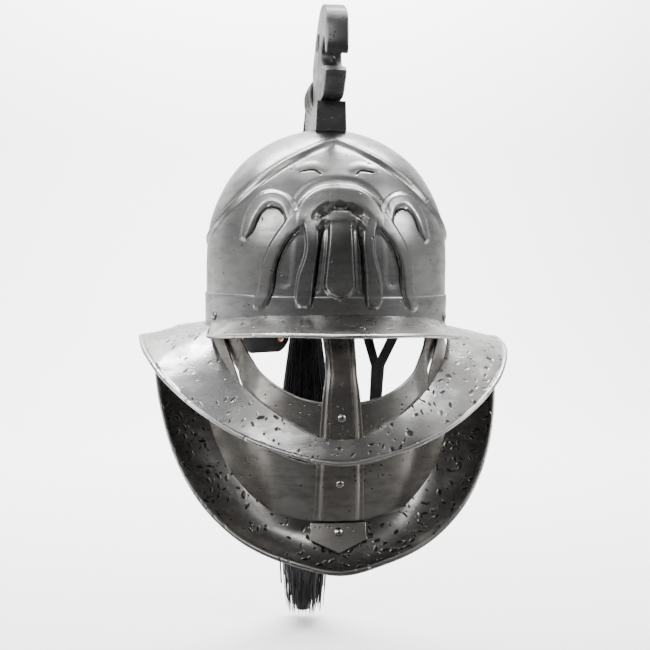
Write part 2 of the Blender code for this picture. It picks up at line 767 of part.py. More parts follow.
def make_rivet(name, base, direction, radius, group, steel, mesh=None):
    """Make a domed rivet head that stands on a base point along a direction."""
    if mesh is None:
        profile = [(0, RIVET_RISE), (0.45 * radius, 0.88 * RIVET_RISE), (0.8 * radius, 0.55 * RIVET_RISE),
                   (radius, 0.0), (0, 0)]
        mesh = bpy.data.meshes.new(name)
        mesh.from_pydata([(x, 0, z) for x, z in profile], [(k, k + 1) for k in range(4)], [])
        mesh.materials.append(steel)
    obj = bpy.data.objects.new(name, mesh)
    group.objects.link(obj)
    turn = obj.modifiers.new("Turn", "SCREW")
    turn.steps = 12
    turn.render_steps = 12
    turn.use_merge_vertices = True
    turn.merge_threshold = 0.00001
    turn.use_smooth_shade = True
    obj.matrix_world = (Matrix.Translation(base + direction * FIT)
                        @ direction.to_track_quat("Z", "Y").to_matrix().to_4x4())
    return obj


def make_rivets(group, steel, nickel):
    """Make the rivets of the crown, the nose bar and the tip plate."""
    for side, hand in ((-1, "r"), (1, "l")):
        for label, a, height in (("front", FRONT_RIVET_ANGLE, FRONT_RIVET_HEIGHT),
                                 ("rear", REAR_RIVET_ANGLE, REAR_RIVET_HEIGHT)):
            place = around(side * a, rim_radius(a, height), height)
            out = Vector((place.x, place.y, 0)).normalized()
            make_rivet(f"{label}_rivet_{hand}", place, out, CROWN_RIVET, group, steel)
    for label, share in (("upper", -0.43), ("lower", -0.79)):
        place, out = bar_face(share)
        make_rivet(f"bar_rivet_{label}", place, out, BAR_RIVET, group, nickel)
    seat, middle = tip_line(0), tip_line(1)
    run = (middle - seat).normalized()
    out = Vector((0, run.z, -run.y))
    place = seat + run * TIP_SIDE * 0.55 + out * (FIT + TIP_THICK)
    make_rivet("tip_rivet", place, out, BAR_RIVET, group, nickel)


def dome_height(x, y):
    """Return the height of the crown's surface above a point near its top."""
    radius, turn = math.hypot(x, y), math.degrees(math.atan2(x, -y))
    low, high = 0.5 * CROWN_HEIGHT, CROWN_HEIGHT * CROWN_SECTIONS[-1][0]
    for _ in range(30):
        middle = (low + high) / 2
        if crown_radius(turn, middle) > radius:
            low = middle
        else:
            high = middle
    return high


def make_crest_block(group, cast):
    """Make the block between the crown and the head, hollowed to sit on the dome."""
    sections = []
    for k in range(7):
        y = BLOCK_FRONT + (BLOCK_BACK - BLOCK_FRONT) * k / 6
        feet = [(x * BLOCK_HALF_WIDTH, y, dome_height(x * BLOCK_HALF_WIDTH, y) + 2 * FIT)
                for x in (-1, 0, 1)]
        top = [(x * BLOCK_HALF_WIDTH * 0.93, y, BLOCK_TOP) for x in (1, -1)]
        sections.append(feet + top)
    return loft("crest_block", sections, group, cast, smooth=False)


def make_head(group, helpers, cast):
    """Make the flat-sided bird's head with its raised eyes."""
    curve = bpy.data.curves.new("crest_head", "CURVE")
    curve.dimensions = "2D"
    curve.fill_mode = "BOTH"
    curve.extrude = HEAD_HALF_WIDTH - HEAD_EDGE
    curve.bevel_depth = HEAD_EDGE
    curve.bevel_resolution = 1
    curve.offset = -HEAD_EDGE
    spline = curve.splines.new("POLY")
    spline.points.add(len(HEAD_OUTLINE) - 1)
    for target, (y, z) in zip(spline.points, HEAD_OUTLINE):
        target.co = (y * HEAD_REACH, BLOCK_TOP + z * HEAD_RISE + FIT, 0, 1)
    spline.use_cyclic_u = True
    obj = bpy.data.objects.new("crest_head", curve)
    group.objects.link(obj)
    obj.matrix_world = Matrix(((0, 0, 1, 0), (1, 0, 0, 0), (0, 1, 0, 0), (0, 0, 0, 1)))
    head = as_mesh(obj, group, cast)
    for side in (-1, 1):
        mesh = bpy.data.meshes.new("eye_form")
        shape = bmesh.new()
        bmesh.ops.create_uvsphere(shape, u_segments=12, v_segments=6, radius=1)
        shape.to_mesh(mesh)
        shape.free()
        eye = new_object(f"eye_form_{side + 1}", mesh, helpers, cast)
        place = head_point(side * HEAD_HALF_WIDTH, *EYE_PLACE)
        eye.matrix_world = (Matrix.Translation(place) @ Matrix.Rotation(math.radians(EYE_TILT), 4, "X")
                            @ Matrix.Diagonal((*EYE_SIZE, 1)))
        combine(head, eye, "UNION")
    return head


def head_point(x, y, z):
    """Return a point of the head from its width and its reach and height shares."""
    return Vector((x, y * HEAD_REACH, BLOCK_TOP + z * HEAD_RISE))


def make_tongue(group, steel):
    """Make the thin wire tongue, which leaves the throat between the jaws."""
    return wire("crest_tongue", [head_point(0, y, z) for y, z in TONGUE], TONGUE_RADIUS, group, steel)


def make_neck(group, cast):
    """Make the neck: a shell round in front, open along its back, that stands on the brim."""
    sections = []
    for number, (y_low, z_low, y_high, z_high, share) in enumerate(NECK + (NECK_END,)):
        low = Vector((0, y_low * NECK_REACH, z_low * NECK_HEIGHT))
        high = Vector((0, y_high * NECK_REACH, z_high * NECK_HEIGHT))
        half = NECK_HALF_WIDTH * share
        deep = (high - low).length / 2
        centre, up = (low + high) / 2, (high - low).normalized()
        gap = NECK_OPENING if number >= OPEN_FROM else 6
        turns = [gap + (360 - 2 * gap) * k / 12 for k in range(13)]
        outer = [centre + Vector((half * math.sin(math.radians(t)), 0, 0)) + up * deep * math.cos(math.radians(t))
                 for t in turns]
        inner = [centre + Vector(((half - NECK_WALL) * math.sin(math.radians(t)), 0, 0))
                 + up * (deep - NECK_WALL) * math.cos(math.radians(t)) for t in turns]
        sections.append(outer + inner[::-1])
    for point in sections[-1]:
        point.z = brim_height(point.x, point.y) + 2 * FIT
    return loft("crest_neck", sections, group, cast)


def brim_height(x, y):
    """Return the height of the brim's upper side at a place."""
    turn, radius = math.degrees(math.atan2(x, -y)), math.hypot(x, y)
    line = [(math.hypot(point.x, point.y), point.z)
            for point in (brim_inner(turn), brim_middle(turn), brim_outer(turn))]
    (r_low, z_low), (r_high, z_high) = line[:2] if radius < line[1][0] else line[1:]
    return z_low + (radius - r_low) / (r_high - r_low) * (z_high - z_low)


def make_bracket(group, helpers, steel, black):
    """Make the box that ties the neck to the back of the crown, and the strip on its top."""
    heights = [BRACKET_TOP + (BRACKET_LOW - BRACKET_TOP) * k / 3 for k in range(4)]
    inside = [crown_off(180, z, 2 * FIT) for z in heights]
    top_in, low_in = inside[0], inside[-1]
    top_out, low_out = neck_under(BRACKET_NECK_TOP), neck_under(BRACKET_NECK_LOW)
    outline = inside + [low_out, top_out]

    def block(name, grow, half, where, finish):
        centre = sum(outline, Vector()) / len(outline)
        ring = [point + (point - centre).normalized() * grow for point in outline]
        sections = [[point + Vector((x, 0, 0)) for point in ring] for x in (-half, half)]
        return loft(name, sections, where, finish, smooth=False)

    box = block("neck_bracket", 0, BRACKET_HALF_WIDTH, group, steel)
    combine(box, block("bracket_hollow", -2.2 * SHEET, BRACKET_HALF_WIDTH - SHEET, helpers, steel), "DIFFERENCE")
    centre = low_in.lerp(top_in, 0.36).lerp(low_out.lerp(top_out, 0.36), 0.30)
    slot = box_form("bracket_slot", centre, (4 * BRACKET_HALF_WIDTH, *BRACKET_SLOT), helpers, steel, 28)
    combine(box, slot, "DIFFERENCE")
    run = top_out - top_in
    up = Vector((0, -run.z, run.y)).normalized()
    base = [top_in + run * 0.02 + up * FIT, top_out - run * 0.04 + up * FIT]
    strip = [base[0], base[1], base[1] + up * LEATHER, base[0] + up * LEATHER]
    sections = [[point + Vector((x, 0, 0)) for point in strip]
                for x in (-BRACKET_HALF_WIDTH, BRACKET_HALF_WIDTH)]
    loft("bracket_strip", sections, group, black, smooth=False)


def neck_under(height):
    """Return the point just in front of the neck's under side at a height."""
    rows = [(row[1] * NECK_HEIGHT, row[0] * NECK_REACH) for row in NECK]
    above = min((row for row in rows if row[0] >= height), key=lambda row: row[0])
    below = max((row for row in rows if row[0] < height), key=lambda row: row[0])
    t = (height - below[0]) / (above[0] - below[0])
    run = Vector((0, above[1] - below[1], above[0] - below[0])).normalized()
    out = Vector((0, -run.z, run.y))
    if out.y > 0:
        out = -out
    return Vector((0, below[1] + t * (above[1] - below[1]), height)) + out * 2 * FIT


def make_plume(group, hair, thread):
    """Make the plume's outer form in locks, and the thread that ties it."""
    stations = [(Vector((0, y * NECK_REACH, z * NECK_HEIGHT)), w, d) for y, z, w, d in PLUME_TOP]
    stations += [(Vector((0, y * PLUME_REACH, -z * PLUME_DROP)), w, d) for y, z, w, d in PLUME_TAIL]
    sections = []
    points = [station[0] for station in stations]
    for k, (centre, w, d) in enumerate(stations):
        run = (points[min(k + 1, len(points) - 1)] - points[max(k - 1, 0)]).normalized()
        out = Vector((0, -run.z, run.y))
        ring = []
        for n in range(2 * LOCKS):
            turn = math.pi * n / LOCKS
            swell = 1.0 if n % 2 == 0 else 0.88
            ring.append(centre + Vector((PLUME_HALF_WIDTH * w * swell * math.cos(turn), 0, 0))
                        + out * PLUME_HALF_DEPTH * d * swell * math.sin(turn))
        sections.append(ring)
    loft("plume", sections, group, hair)
    k = 11
    low, high = stations[k + 1], stations[k]
    t = (TIE_HEIGHT - low[0].z) / (high[0].z - low[0].z)
    centre = low[0].lerp(high[0], t)
    run = (low[0] - high[0]).normalized()
    out = Vector((0, -run.z, run.y))
    rings = []
    for grow, along in ((FIT, -1), (FIT + 0.0012, -1), (FIT + 0.0012, 1), (FIT, 1)):
        ring = []
        for n in range(24):
            turn = math.pi * n / 12
            ring.append(centre + run * along * TIE_WIDTH / 2
                        + Vector(((PLUME_HALF_WIDTH * high[1] + grow) * math.cos(turn), 0, 0))
                        + out * (PLUME_HALF_DEPTH * high[2] + grow) * math.sin(turn))
        rings.append(ring)
    closed_ring("plume_tie", rings, group, thread)


def closed_ring(name, rings, group, finish):
    """Make a ring-shaped solid from rings that follow each other round its section."""
    shape = bmesh.new()
    lines = [[shape.verts.new(point) for point in ring] for ring in rings]
    for low, high in zip(lines, lines[1:] + lines[:1]):
        for k in range(len(low)):
            n = (k + 1) % len(low)
            shape.faces.new((low[k], low[n], high[n], high[k]))
    bmesh.ops.recalc_face_normals(shape, faces=shape.faces)
    mesh = bpy.data.meshes.new(name)
    shape.to_mesh(mesh)
    shape.free()
    return new_object(name, mesh, group, finish)


def strap_rows(path, width, across):
    """Return the two edge lines of a strap along a path."""
    return [[point - across * width / 2 for point in path], [point + across * width / 2 for point in path]]


def make_straps(group, helpers, hide, nickel, copper):
    """Make the buckled strap, the plain forked strap and the liner's flap."""
    wall = rim_radius(90) - SHEET - FIT
    middle = wall - STRAP_EASE - LEATHER / 2
    bar = Vector((middle, 0, -STRAP_DROP))
    path = [Vector((wall - STRAP_EASE * ease, 0, STRAP_DROP * height)) for height, ease in STRAP_PATH]
    path.append(Vector((wall - STRAP_EASE, 0, bar.z + BUCKLE_WIRE + FIT)))
    left, right = strap_rows(path, STRAP_WIDTH, Vector((0, 1, 0)))
    strap = sheet("buckle_strap", [left, right], group, hide, thick=LEATHER)
    reach = BUCKLE_WIRE + 2 * PRONG_RADIUS + EYE_GAP + FIT
    combine(strap, box_form("prong_slot", bar, (STRAP_WIDTH, 2 * PRONG_RADIUS + 2 * FIT, 2 * reach),
                            helpers, hide), "DIFFERENCE")
    half = (LEATHER / 2 + FIT, STRAP_WIDTH / 2 + FIT)
    rings = []
    for grow, along in ((0, -1), (KEEPER_THICK, -1), (KEEPER_THICK, 1), (0, 1)):
        rings.append([Vector((middle + sx * (half[0] + grow), sy * (half[1] + grow),
                              bar.z + KEEPER_RISE + along * KEEPER_HEIGHT / 2))
                      for sx, sy in ((1, 1), (-1, 1), (-1, -1), (1, -1))])
    closed_ring("strap_keeper", rings, group, hide)
    make_buckle(group, nickel, bar)
    make_plain_strap(group, hide)
    make_liner(group, hide, copper)


def make_buckle(group, nickel, bar):
    """Make the open buckle: a wire frame hung on the strap's end, and its prong."""
    half = BUCKLE_WIDTH / 2 - BUCKLE_WIRE
    top, low = bar.z, bar.z - BUCKLE_HEIGHT + 2 * BUCKLE_WIRE
    corner = 0.0025
    ring = [(half, top), (half, low + corner), (half - corner, low), (-half + corner, low),
            (-half, low + corner), (-half, top)]
    points = [Vector((bar.x, y, z)) for y, z in ring]
    wire("buckle_frame", points, BUCKLE_WIRE, group, nickel, cyclic=True)
    length = bar.z - low
    lift = BUCKLE_WIRE + PRONG_RADIUS + EYE_GAP
    path = [Vector((bar.x + lift * math.cos(t), 0, bar.z + lift * math.sin(t)))
            for t in (math.radians(d) for d in (-62, -20, 25, 70, 115, 160, 205, 250))]
    path = [Vector((bar.x + lift, 0, bar.z - length - BUCKLE_WIRE * 0.5)),
            Vector((bar.x + lift, 0, bar.z - length * 0.5))] + path[1:7]
    wire("buckle_prong", path, PRONG_RADIUS, group, nickel)


def make_plain_strap(group, hide):
    """Make the plain strap, forked above, that hangs free inside the back."""
    joint, end = Vector(FORK_JOINT), Vector(FORK_JOINT) - Vector((0.002, 0, FORK_TAIL))
    half = STRAP_WIDTH / 2
    across, leg = Vector((half, 0, 0)), Vector((0.8 * half, 0, 0))
    down = Vector((0, 0, -0.012))
    left, right = (crown_inside(angle, 0.8 * half, 0.012) for angle in (FORK_LEFT, FORK_RIGHT))
    ring = [left - leg, left - leg + down, joint - across, end - 0.9 * across, end + 0.9 * across,
            joint + across, right + leg + down, right + leg, right - leg, right - leg + down,
            joint + Vector((0, 0, 0.009)), left + leg + down, left + leg]
    cells = ((0, 1, 11, 12), (1, 2, 10, 11), (2, 3, 4, 5), (2, 5, 10), (5, 6, 9, 10), (6, 7, 8, 9))
    shape = bmesh.new()
    face = Vector((0, -LEATHER / 2, 0))
    layers = [[shape.verts.new(point + face * side) for point in ring] for side in (1, -1)]
    for cell in cells:
        shape.faces.new([layers[0][k] for k in cell])
        shape.faces.new([layers[1][k] for k in reversed(cell)])
    for k in range(len(ring)):
        n = (k + 1) % len(ring)
        shape.faces.new((layers[0][k], layers[0][n], layers[1][n], layers[1][k]))
    bmesh.ops.recalc_face_normals(shape, faces=shape.faces)
    mesh = bpy.data.meshes.new("plain_strap")
    shape.to_mesh(mesh)
    shape.free()
    return new_object("plain_strap", mesh, group, hide, smooth=False)


def crown_inside(angle, half_width, height):
    """Return the middle of a flat strap's end whose outer corner meets the crown's inner side."""
    turn = math.radians(angle)
    reach = half_width * math.sin(turn) + LEATHER / 2 * abs(math.cos(turn))
    return around(angle, rim_radius(angle) - SHEET - FIT - reach, height)


def make_liner(group, hide, copper):
    """Make the liner's flap behind the face opening, with its copper rivet."""
    columns = []
    for a in angles(-166, -134):
        radius = rim_radius(a) - SHEET - FIT
        ease = 0.0015
        columns.append([around(a, radius, 0.020), around(a, radius, 0.000),
                        around(a, radius - ease, -0.018), around(a, radius - 2 * ease, -0.036)])
    sheet("liner_flap", columns_to_rows(columns)[::-1], group, hide, thick=LEATHER)
    a = -160
    radius = rim_radius(a) - SHEET - FIT - LEATHER - 0.0026
    place = around(a, radius, -0.022)
    inward = Vector((-place.x, -place.y, 0)).normalized()
    make_rivet("liner_rivet", place, inward, BAR_RIVET, group, copper)


def main():
    """Build the helmet."""
    clear_scene()
    group, helpers = collection("gladiator_helmet"), collection("cutters")
    steel, dark = material("burnished_steel", STEEL), material("dark_steel", DARK_STEEL)
    cast, nickel = material("cast_metal", CAST), material("nickel", NICKEL)
    copper, hide = material("copper", COPPER), material("leather", HIDE)
    hair, thread = material("horsehair", HAIR), material("red_thread", THREAD)
    make_crown(group, helpers, steel)
    make_peak(group, steel)
    make_brim(group, steel)
    make_face_wall(group, steel)
    make_chin_wall(group, dark)
    make_chin_flange(group, dark)
    loft("nose_bar", bar_sections(), group, steel)
    make_tip_plate(group, steel)
    make_rivets(group, steel, nickel)
    make_crest_block(group, cast)
    make_head(group, helpers, cast)
    make_tongue(group, steel)
    make_neck(group, cast)
    make_bracket(group, helpers, steel, hide)
    make_plume(group, hair, thread)
    make_straps(group, helpers, hide, nickel, copper)


main()
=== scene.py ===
"""Looks of the gladiator helmet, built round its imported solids.

Metres, +Z up, the wearer looks along -Y. Angles are in degrees round the crown from the face at 0.
"""
import logging
import math
import random
from dataclasses import dataclass
from enum import Enum

import bmesh
import bpy
import numpy as np
from mathutils import Matrix, Vector


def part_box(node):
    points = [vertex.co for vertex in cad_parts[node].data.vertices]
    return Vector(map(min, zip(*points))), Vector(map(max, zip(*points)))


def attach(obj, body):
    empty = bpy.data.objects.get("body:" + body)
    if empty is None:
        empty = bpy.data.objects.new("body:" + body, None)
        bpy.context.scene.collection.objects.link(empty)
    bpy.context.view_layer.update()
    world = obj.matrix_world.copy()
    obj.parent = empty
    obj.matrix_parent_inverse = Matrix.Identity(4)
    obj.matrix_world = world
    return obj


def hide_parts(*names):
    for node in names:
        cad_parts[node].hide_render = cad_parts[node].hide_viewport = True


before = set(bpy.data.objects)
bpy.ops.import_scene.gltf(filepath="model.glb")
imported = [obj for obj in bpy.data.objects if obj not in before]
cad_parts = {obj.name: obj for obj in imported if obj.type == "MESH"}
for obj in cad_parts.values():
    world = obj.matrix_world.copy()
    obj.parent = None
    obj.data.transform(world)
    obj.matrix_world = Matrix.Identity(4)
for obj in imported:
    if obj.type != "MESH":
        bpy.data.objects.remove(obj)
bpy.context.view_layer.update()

LOG = logging.getLogger("helmet")
SHEET = 0.0015
FIT = 0.0004
MM = 0.001
FACE = 0.0
BACK = 180.0
SHARP_EDGE = 38.0
WELD = 1e-6
TINY = 1e-12
ASIDE = np.array([1.0, 0.0, 0.0])
Rows = tuple[tuple[float, ...], ...]


class Body(Enum):
    """The bodies that pieces ride on."""

    HELMET = "helmet"
    PRONG = "prong"


class Slot(Enum):
    """The record's material slots."""

    STEEL = "burnished_steel"
    DARK = "dark_steel"
    CAST = "cast_metal"
    NICKEL = "nickel"
    COPPER = "copper"
    LEATHER = "leather"
    HAIR = "horsehair"
    THREAD = "red_thread"


# Numbers and curves


def monotone(rows: Rows, column: int, at: np.ndarray | float) -> np.ndarray:
    """Read a table's column smoothly and without overshoot.

    Args:
        rows: table rows, keyed by their first column in rising order.
        column: which column to read.
        at: keys to read it at.

    Returns:
        The values at those keys.
    """
    keys = np.array([row[0] for row in rows], float)
    values = np.array([row[column] for row in rows], float)
    at = np.clip(np.asarray(at, float), keys[0], keys[-1])
    slope = np.diff(values) / np.diff(keys)
    tangent = np.zeros(len(keys))
    same = slope[:-1] * slope[1:] > 0
    total = np.where(same, slope[:-1] + slope[1:], 1.0)
    tangent[1:-1] = np.where(same, 2 * slope[:-1] * slope[1:] / total, 0.0)
    if keys[0] != FACE:
        tangent[0] = slope[0]
    if keys[-1] != BACK:
        tangent[-1] = slope[-1]
    i = np.clip(np.searchsorted(keys, at, side="right") - 1, 0, len(keys) - 2)
    span = np.diff(keys)[i]
    t = (at - keys[i]) / span
    return ((2 * t**3 - 3 * t**2 + 1) * values[i] + (t**3 - 2 * t**2 + t) * span * tangent[i]
            + (3 * t**2 - 2 * t**3) * values[i + 1] + (t**3 - t**2) * span * tangent[i + 1])


def polar(angle: np.ndarray, radius: np.ndarray, height: np.ndarray) -> np.ndarray:
    """Turn angles, radii and heights into points.

    Args:
        angle: degrees from the face.
        radius: distances from the upright axis.
        height: heights over the crown's rim.

    Returns:
        The points in the last axis.
    """
    turn = np.radians(angle)
    x, y = radius * np.sin(turn), -radius * np.cos(turn)
    return np.stack(np.broadcast_arrays(x, y, height), -1)


def unit(vectors: np.ndarray) -> np.ndarray:
    """Scale vectors to length one."""
    return vectors / np.maximum(np.linalg.norm(vectors, axis=-1, keepdims=True), TINY)


def smooth_line(points: np.ndarray, count: int, closed: bool = False) -> np.ndarray:
    """Run a smooth line through points and sample it evenly.

    Args:
        points: the points that it passes through.
        count: how many samples to give back.
        closed: whether it joins its start again.

    Returns:
        The samples, without the start repeated on a closed line.
    """
    points = np.asarray(points, float)
    if closed:
        points = np.vstack([points[-1:], points, points[:2]])
    else:
        points = np.vstack([2 * points[0] - points[1], points, 2 * points[-1] - points[-2]])
    t = np.linspace(0, 1, 13)[:-1, None]
    parts = []
    for a, b, c, d in zip(points, points[1:], points[2:], points[3:]):
        parts.append(0.5 * (2 * b + (c - a) * t + (2 * a - 5 * b + 4 * c - d) * t**2
                            + (3 * b - a - 3 * c + d) * t**3))
    line = np.vstack(parts + [points[-2:-1]])
    length = np.r_[0, np.cumsum(np.linalg.norm(np.diff(line, axis=0), axis=1))]
    ends = np.linspace(0, length[-1], count + 1)[:-1] if closed else np.linspace(0, length[-1], count)
    return np.stack([np.interp(ends, length, line[:, k]) for k in range(line.shape[1])], 1)


def path_distance(points: np.ndarray, path: np.ndarray) -> np.ndarray:
    """Measure how far points lie from a broken line.

    Args:
        points: points in the last axis.
        path: the line's corners.

    Returns:
        The distances, in the shape of the points without their last axis.
    """
    best = np.full(points.shape[:-1], np.inf)
    for low, high in zip(path, path[1:]):
        run = high - low
        t = np.clip(((points - low) @ run) / max(run @ run, TINY), 0, 1)
        best = np.minimum(best, np.linalg.norm(points - low - t[..., None] * run, axis=-1))
    return best


def swell(away: np.ndarray, at: float, width: float) -> np.ndarray:
    """Give a smooth hump of height one at a distance, of a width."""
    return np.exp(-(((away - at) / width) ** 2))


def profile(rows: Rows, away: np.ndarray) -> np.ndarray:
    """Add up humps across a line, given as rows of height, place and half-width."""
    return sum(height * swell(away, at, width) for height, at, width in rows)


def beaten(points: np.ndarray, depth: float) -> np.ndarray:
    """Give the slight unevenness of hand-beaten sheet.

    Args:
        points: points in the last axis.
        depth: the most that it reaches.

    Returns:
        Heights at the points.
    """
    x, y, z = points[..., 0], points[..., 1], points[..., 2]
    wave = (np.sin(171 * x + 60 * z + 1.3) * np.sin(143 * z + 2.1) + np.sin(127 * y - 83 * z + 0.4)
            + 0.6 * np.sin(251 * x - 190 * y + 2.2) + 0.5 * np.sin(317 * z + 211 * y))
    return depth * wave / 3.1


# Meshes


def mesh_object(name: str, vertices: np.ndarray, faces: list, edge_highlight: np.ndarray | None = None,
                sharp: float = SHARP_EDGE) -> bpy.types.Object:
    """Make an object from points and faces, with its faces turned outward.

    Args:
        name: the object's name.
        vertices: points, one a row.
        faces: lists of point numbers.
        edge_highlight: how much painted highlight each point gets, from 0 to 1.
        sharp: angle in degrees above which an edge stays sharp.

    Returns:
        The object, linked to the scene.
    """
    mesh = bpy.data.meshes.new(name)
    mesh.from_pydata(np.asarray(vertices, float).tolist(), [], faces)
    shape = bmesh.new()
    shape.from_mesh(mesh)
    bmesh.ops.recalc_face_normals(shape, faces=shape.faces)
    shape.to_mesh(mesh)
    shape.free()
    # The point attribute holds painted highlight, which the metal finishes lighten.
    if edge_highlight is not None:
        layer = mesh.attributes.new("edge_highlight", "FLOAT", "POINT")
        layer.data.foreach_set("value", np.asarray(edge_highlight, np.float32).ravel())
    return placed(name, mesh, sharp)


def ring_faces(rings: int, count: int, closed_rings: bool, start: int = 0) -> list:
    """List the quads between rings of points that follow each other.

    Args:
        rings: how many rings there are.
        count: how many points each ring has; a ring closes on itself.
        closed_rings: whether the last ring joins the first.
        start: number of the first point.

    Returns:
        The quads.
    """
    k = np.arange(count)
    n = (k + 1) % count
    faces = []
    for r in range(rings if closed_rings else rings - 1):
        low, high = start + r * count, start + (r + 1) % rings * count
        faces.extend(np.stack([low + k, low + n, high + n, high + k], 1).tolist())
    return faces


def loft(name: str, rings: np.ndarray, closed: bool = False, edge_highlight: np.ndarray | None = None,
         sharp: float = SHARP_EDGE) -> bpy.types.Object:
    """Join rings of points into a solid.

    Args:
        name: the object's name.
        rings: points as (rings, points, 3).
        closed: whether the last ring joins the first; otherwise both ends are capped.
        edge_highlight: how much painted highlight each point gets, as (rings, points).
        sharp: angle in degrees above which an edge stays sharp.

    Returns:
        The object.
    """
    count, size = rings.shape[:2]
    faces = ring_faces(count, size, closed)
    if not closed:
        faces += [list(range(size)), list(range((count - 1) * size, count * size))]
    return mesh_object(name, rings.reshape(-1, 3), faces, edge_highlight, sharp)


def tube_rings(path: np.ndarray, radius: np.ndarray | float, sides: int,
               across: np.ndarray | None = None, flat: float = 1.0) -> np.ndarray:
    """Give the rings of a tube along a path.

    Args:
        path: the tube's middle line.
        radius: its radius, or one for each point.
        sides: points round it.
        across: a direction that its width keeps to; found along the path if left out.
        flat: its thickness as a share of its width.

    Returns:
        Points as (path, sides, 3).
    """
    run = unit(np.gradient(path, axis=0))
    if across is None:
        start = np.array([0.0, 0.0, 1.0]) if abs(run[0][2]) < 0.9 else np.array([1.0, 0.0, 0.0])
        side = [unit(np.cross(run[0], start))]
        for ahead in run[1:]:
            side.append(unit(side[-1] - (side[-1] @ ahead) * ahead))
        side = np.array(side)
    else:
        side = unit(np.asarray(across) - (run @ np.asarray(across))[:, None] * run)
    up = np.cross(run, side)
    turn = np.linspace(0, 2 * math.pi, sides, endpoint=False)
    radius = np.broadcast_to(radius, len(path))[:, None, None]
    return (path[:, None] + radius * (np.cos(turn)[None, :, None] * side[:, None]
                                      + flat * np.sin(turn)[None, :, None] * up[:, None]))


def merged(name: str, parts: list[tuple[np.ndarray, bool]], sharp: float = SHARP_EDGE) -> bpy.types.Object:
    """Make one object of several tubes.

    Args:
        name: the object's name.
        parts: each tube's rings and whether it joins its start again.
        sharp: angle in degrees above which an edge stays sharp.

    Returns:
        The object.
    """
    vertices, faces, start = [], [], 0
    for rings, closed in parts:
        count, size = rings.shape[:2]
        faces += ring_faces(count, size, closed, start)
        if not closed:
            last = start + (count - 1) * size
            faces += [list(range(start, start + size)), list(range(last, last + size))]
        vertices.append(rings.reshape(-1, 3))
        start += count * size
    return mesh_object(name, np.vstack(vertices), faces, None, sharp)


def strap_rings(path: np.ndarray, across: np.ndarray, width: np.ndarray | float, thick: float) -> np.ndarray:
    """Give the rounded rectangular rings of a strap along a path.

    Args:
        path: the strap's middle line.
        across: the direction of its width.
        width: its width, or one for each point.
        thick: its thickness.

    Returns:
        Points as (path, points, 3).
    """
    run = unit(np.gradient(path, axis=0))
    side = unit(across - (run @ across)[:, None] * run)
    up = np.cross(run, side)
    soft = thick * 0.3
    half = np.broadcast_to(width, len(path))[:, None] / 2
    x = np.array([-1, -1, -0.5, 0, 0.5, 1, 1, 1, 1, 0.5, 0, -0.5, -1, -1])
    inset = np.array([0, 1, 1, 1, 1, 1, 0, 0, 1, 1, 1, 1, 1, 0]) * soft
    z = np.array([-1, -1, -1, -1, -1, -1, -1, 1, 1, 1, 1, 1, 1, 1])
    lower = np.array([1, 0, 0, 0, 0, 0, 1, 1, 0, 0, 0, 0, 0, 1]) * soft
    u = x * half - np.sign(x) * inset * (np.abs(x) == 1)
    v = np.broadcast_to(z * thick / 2 - z * lower, u.shape)
    return path[:, None] + u[..., None] * side[:, None] + v[..., None] * up[:, None]


def rounded(obj: bpy.types.Object, width: float, segments: int, angle: float) -> None:
    """Round an object's edges.

    Args:
        obj: the object.
        width: the rounding's width.
        segments: its steps.
        angle: angle in degrees above which an edge is rounded.
    """
    rounding = obj.modifiers.new("Rounding", "BEVEL")
    rounding.width = width
    rounding.segments = segments
    rounding.limit_method = "ANGLE"
    rounding.angle_limit = math.radians(angle)


def cut(obj: bpy.types.Object, cutter: bpy.types.Object) -> None:
    """Take a cutting form out of an object, and remove the form.

    Args:
        obj: the object.
        cutter: the form.
    """
    change = obj.modifiers.new("Cut", "BOOLEAN")
    change.operation = "DIFFERENCE"
    change.solver = "EXACT"
    change.object = cutter
    bpy.context.view_layer.update()
    graph = bpy.context.evaluated_depsgraph_get()
    mesh = bpy.data.meshes.new_from_object(obj.evaluated_get(graph))
    obj.modifiers.clear()
    obj.data = mesh
    bpy.data.objects.remove(cutter)


def placed(name: str, mesh: bpy.types.Mesh, sharp: float) -> bpy.types.Object:
    """Shade a mesh smoothly and put it in the scene.

    Args:
        name: the object's name.
        mesh: its mesh.
        sharp: angle in degrees above which an edge stays sharp.

    Returns:
        The object.
    """
    mesh.shade_smooth()
    mesh.set_sharp_from_angle(angle=math.radians(sharp))
    obj = bpy.data.objects.new(name, mesh)
    bpy.context.scene.collection.objects.link(obj)
    return obj


def carried(node: str, bevel: float, segments: int = 2) -> bpy.types.Object:
    """Copy a solid of the frame and round its edges.

    Args:
        node: the solid's name.
        bevel: radius of the rounding.
        segments: steps of the rounding.

    Returns:
        The new object.
    """
    shape = bmesh.new()
    shape.from_mesh(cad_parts[node].data)
    bmesh.ops.remove_doubles(shape, verts=shape.verts, dist=WELD)
    bmesh.ops.dissolve_limit(shape, angle_limit=math.radians(1), verts=shape.verts, edges=shape.edges)
    mesh = bpy.data.meshes.new(f"{node}_shape")
    shape.to_mesh(mesh)
    shape.free()
    obj = placed(f"{node}_shape", mesh, 50)
    if bevel:
        rounded(obj, bevel, segments, 28)
    return obj


def present(obj: bpy.types.Object, finish: bpy.types.Material | None, slot: Slot, *nodes: str,
            body: Body = Body.HELMET) -> bpy.types.Object:
    """Dress a piece and set it on its body.

    Args:
        obj: the piece.
        finish: its material, or None where it has its own already.
        slot: the record's slot for it; not used.
        nodes: the solids that it stands for.
        body: the body that it rides on.

    Returns:
        The piece.
    """
    if finish:
        obj.data.materials.clear()
        obj.data.materials.append(finish)
    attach(obj, body.value)
    if nodes:
        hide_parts(*nodes)
    LOG.info("%s: %d faces", obj.name, len(obj.data.polygons))
    return obj


# Shader nodes


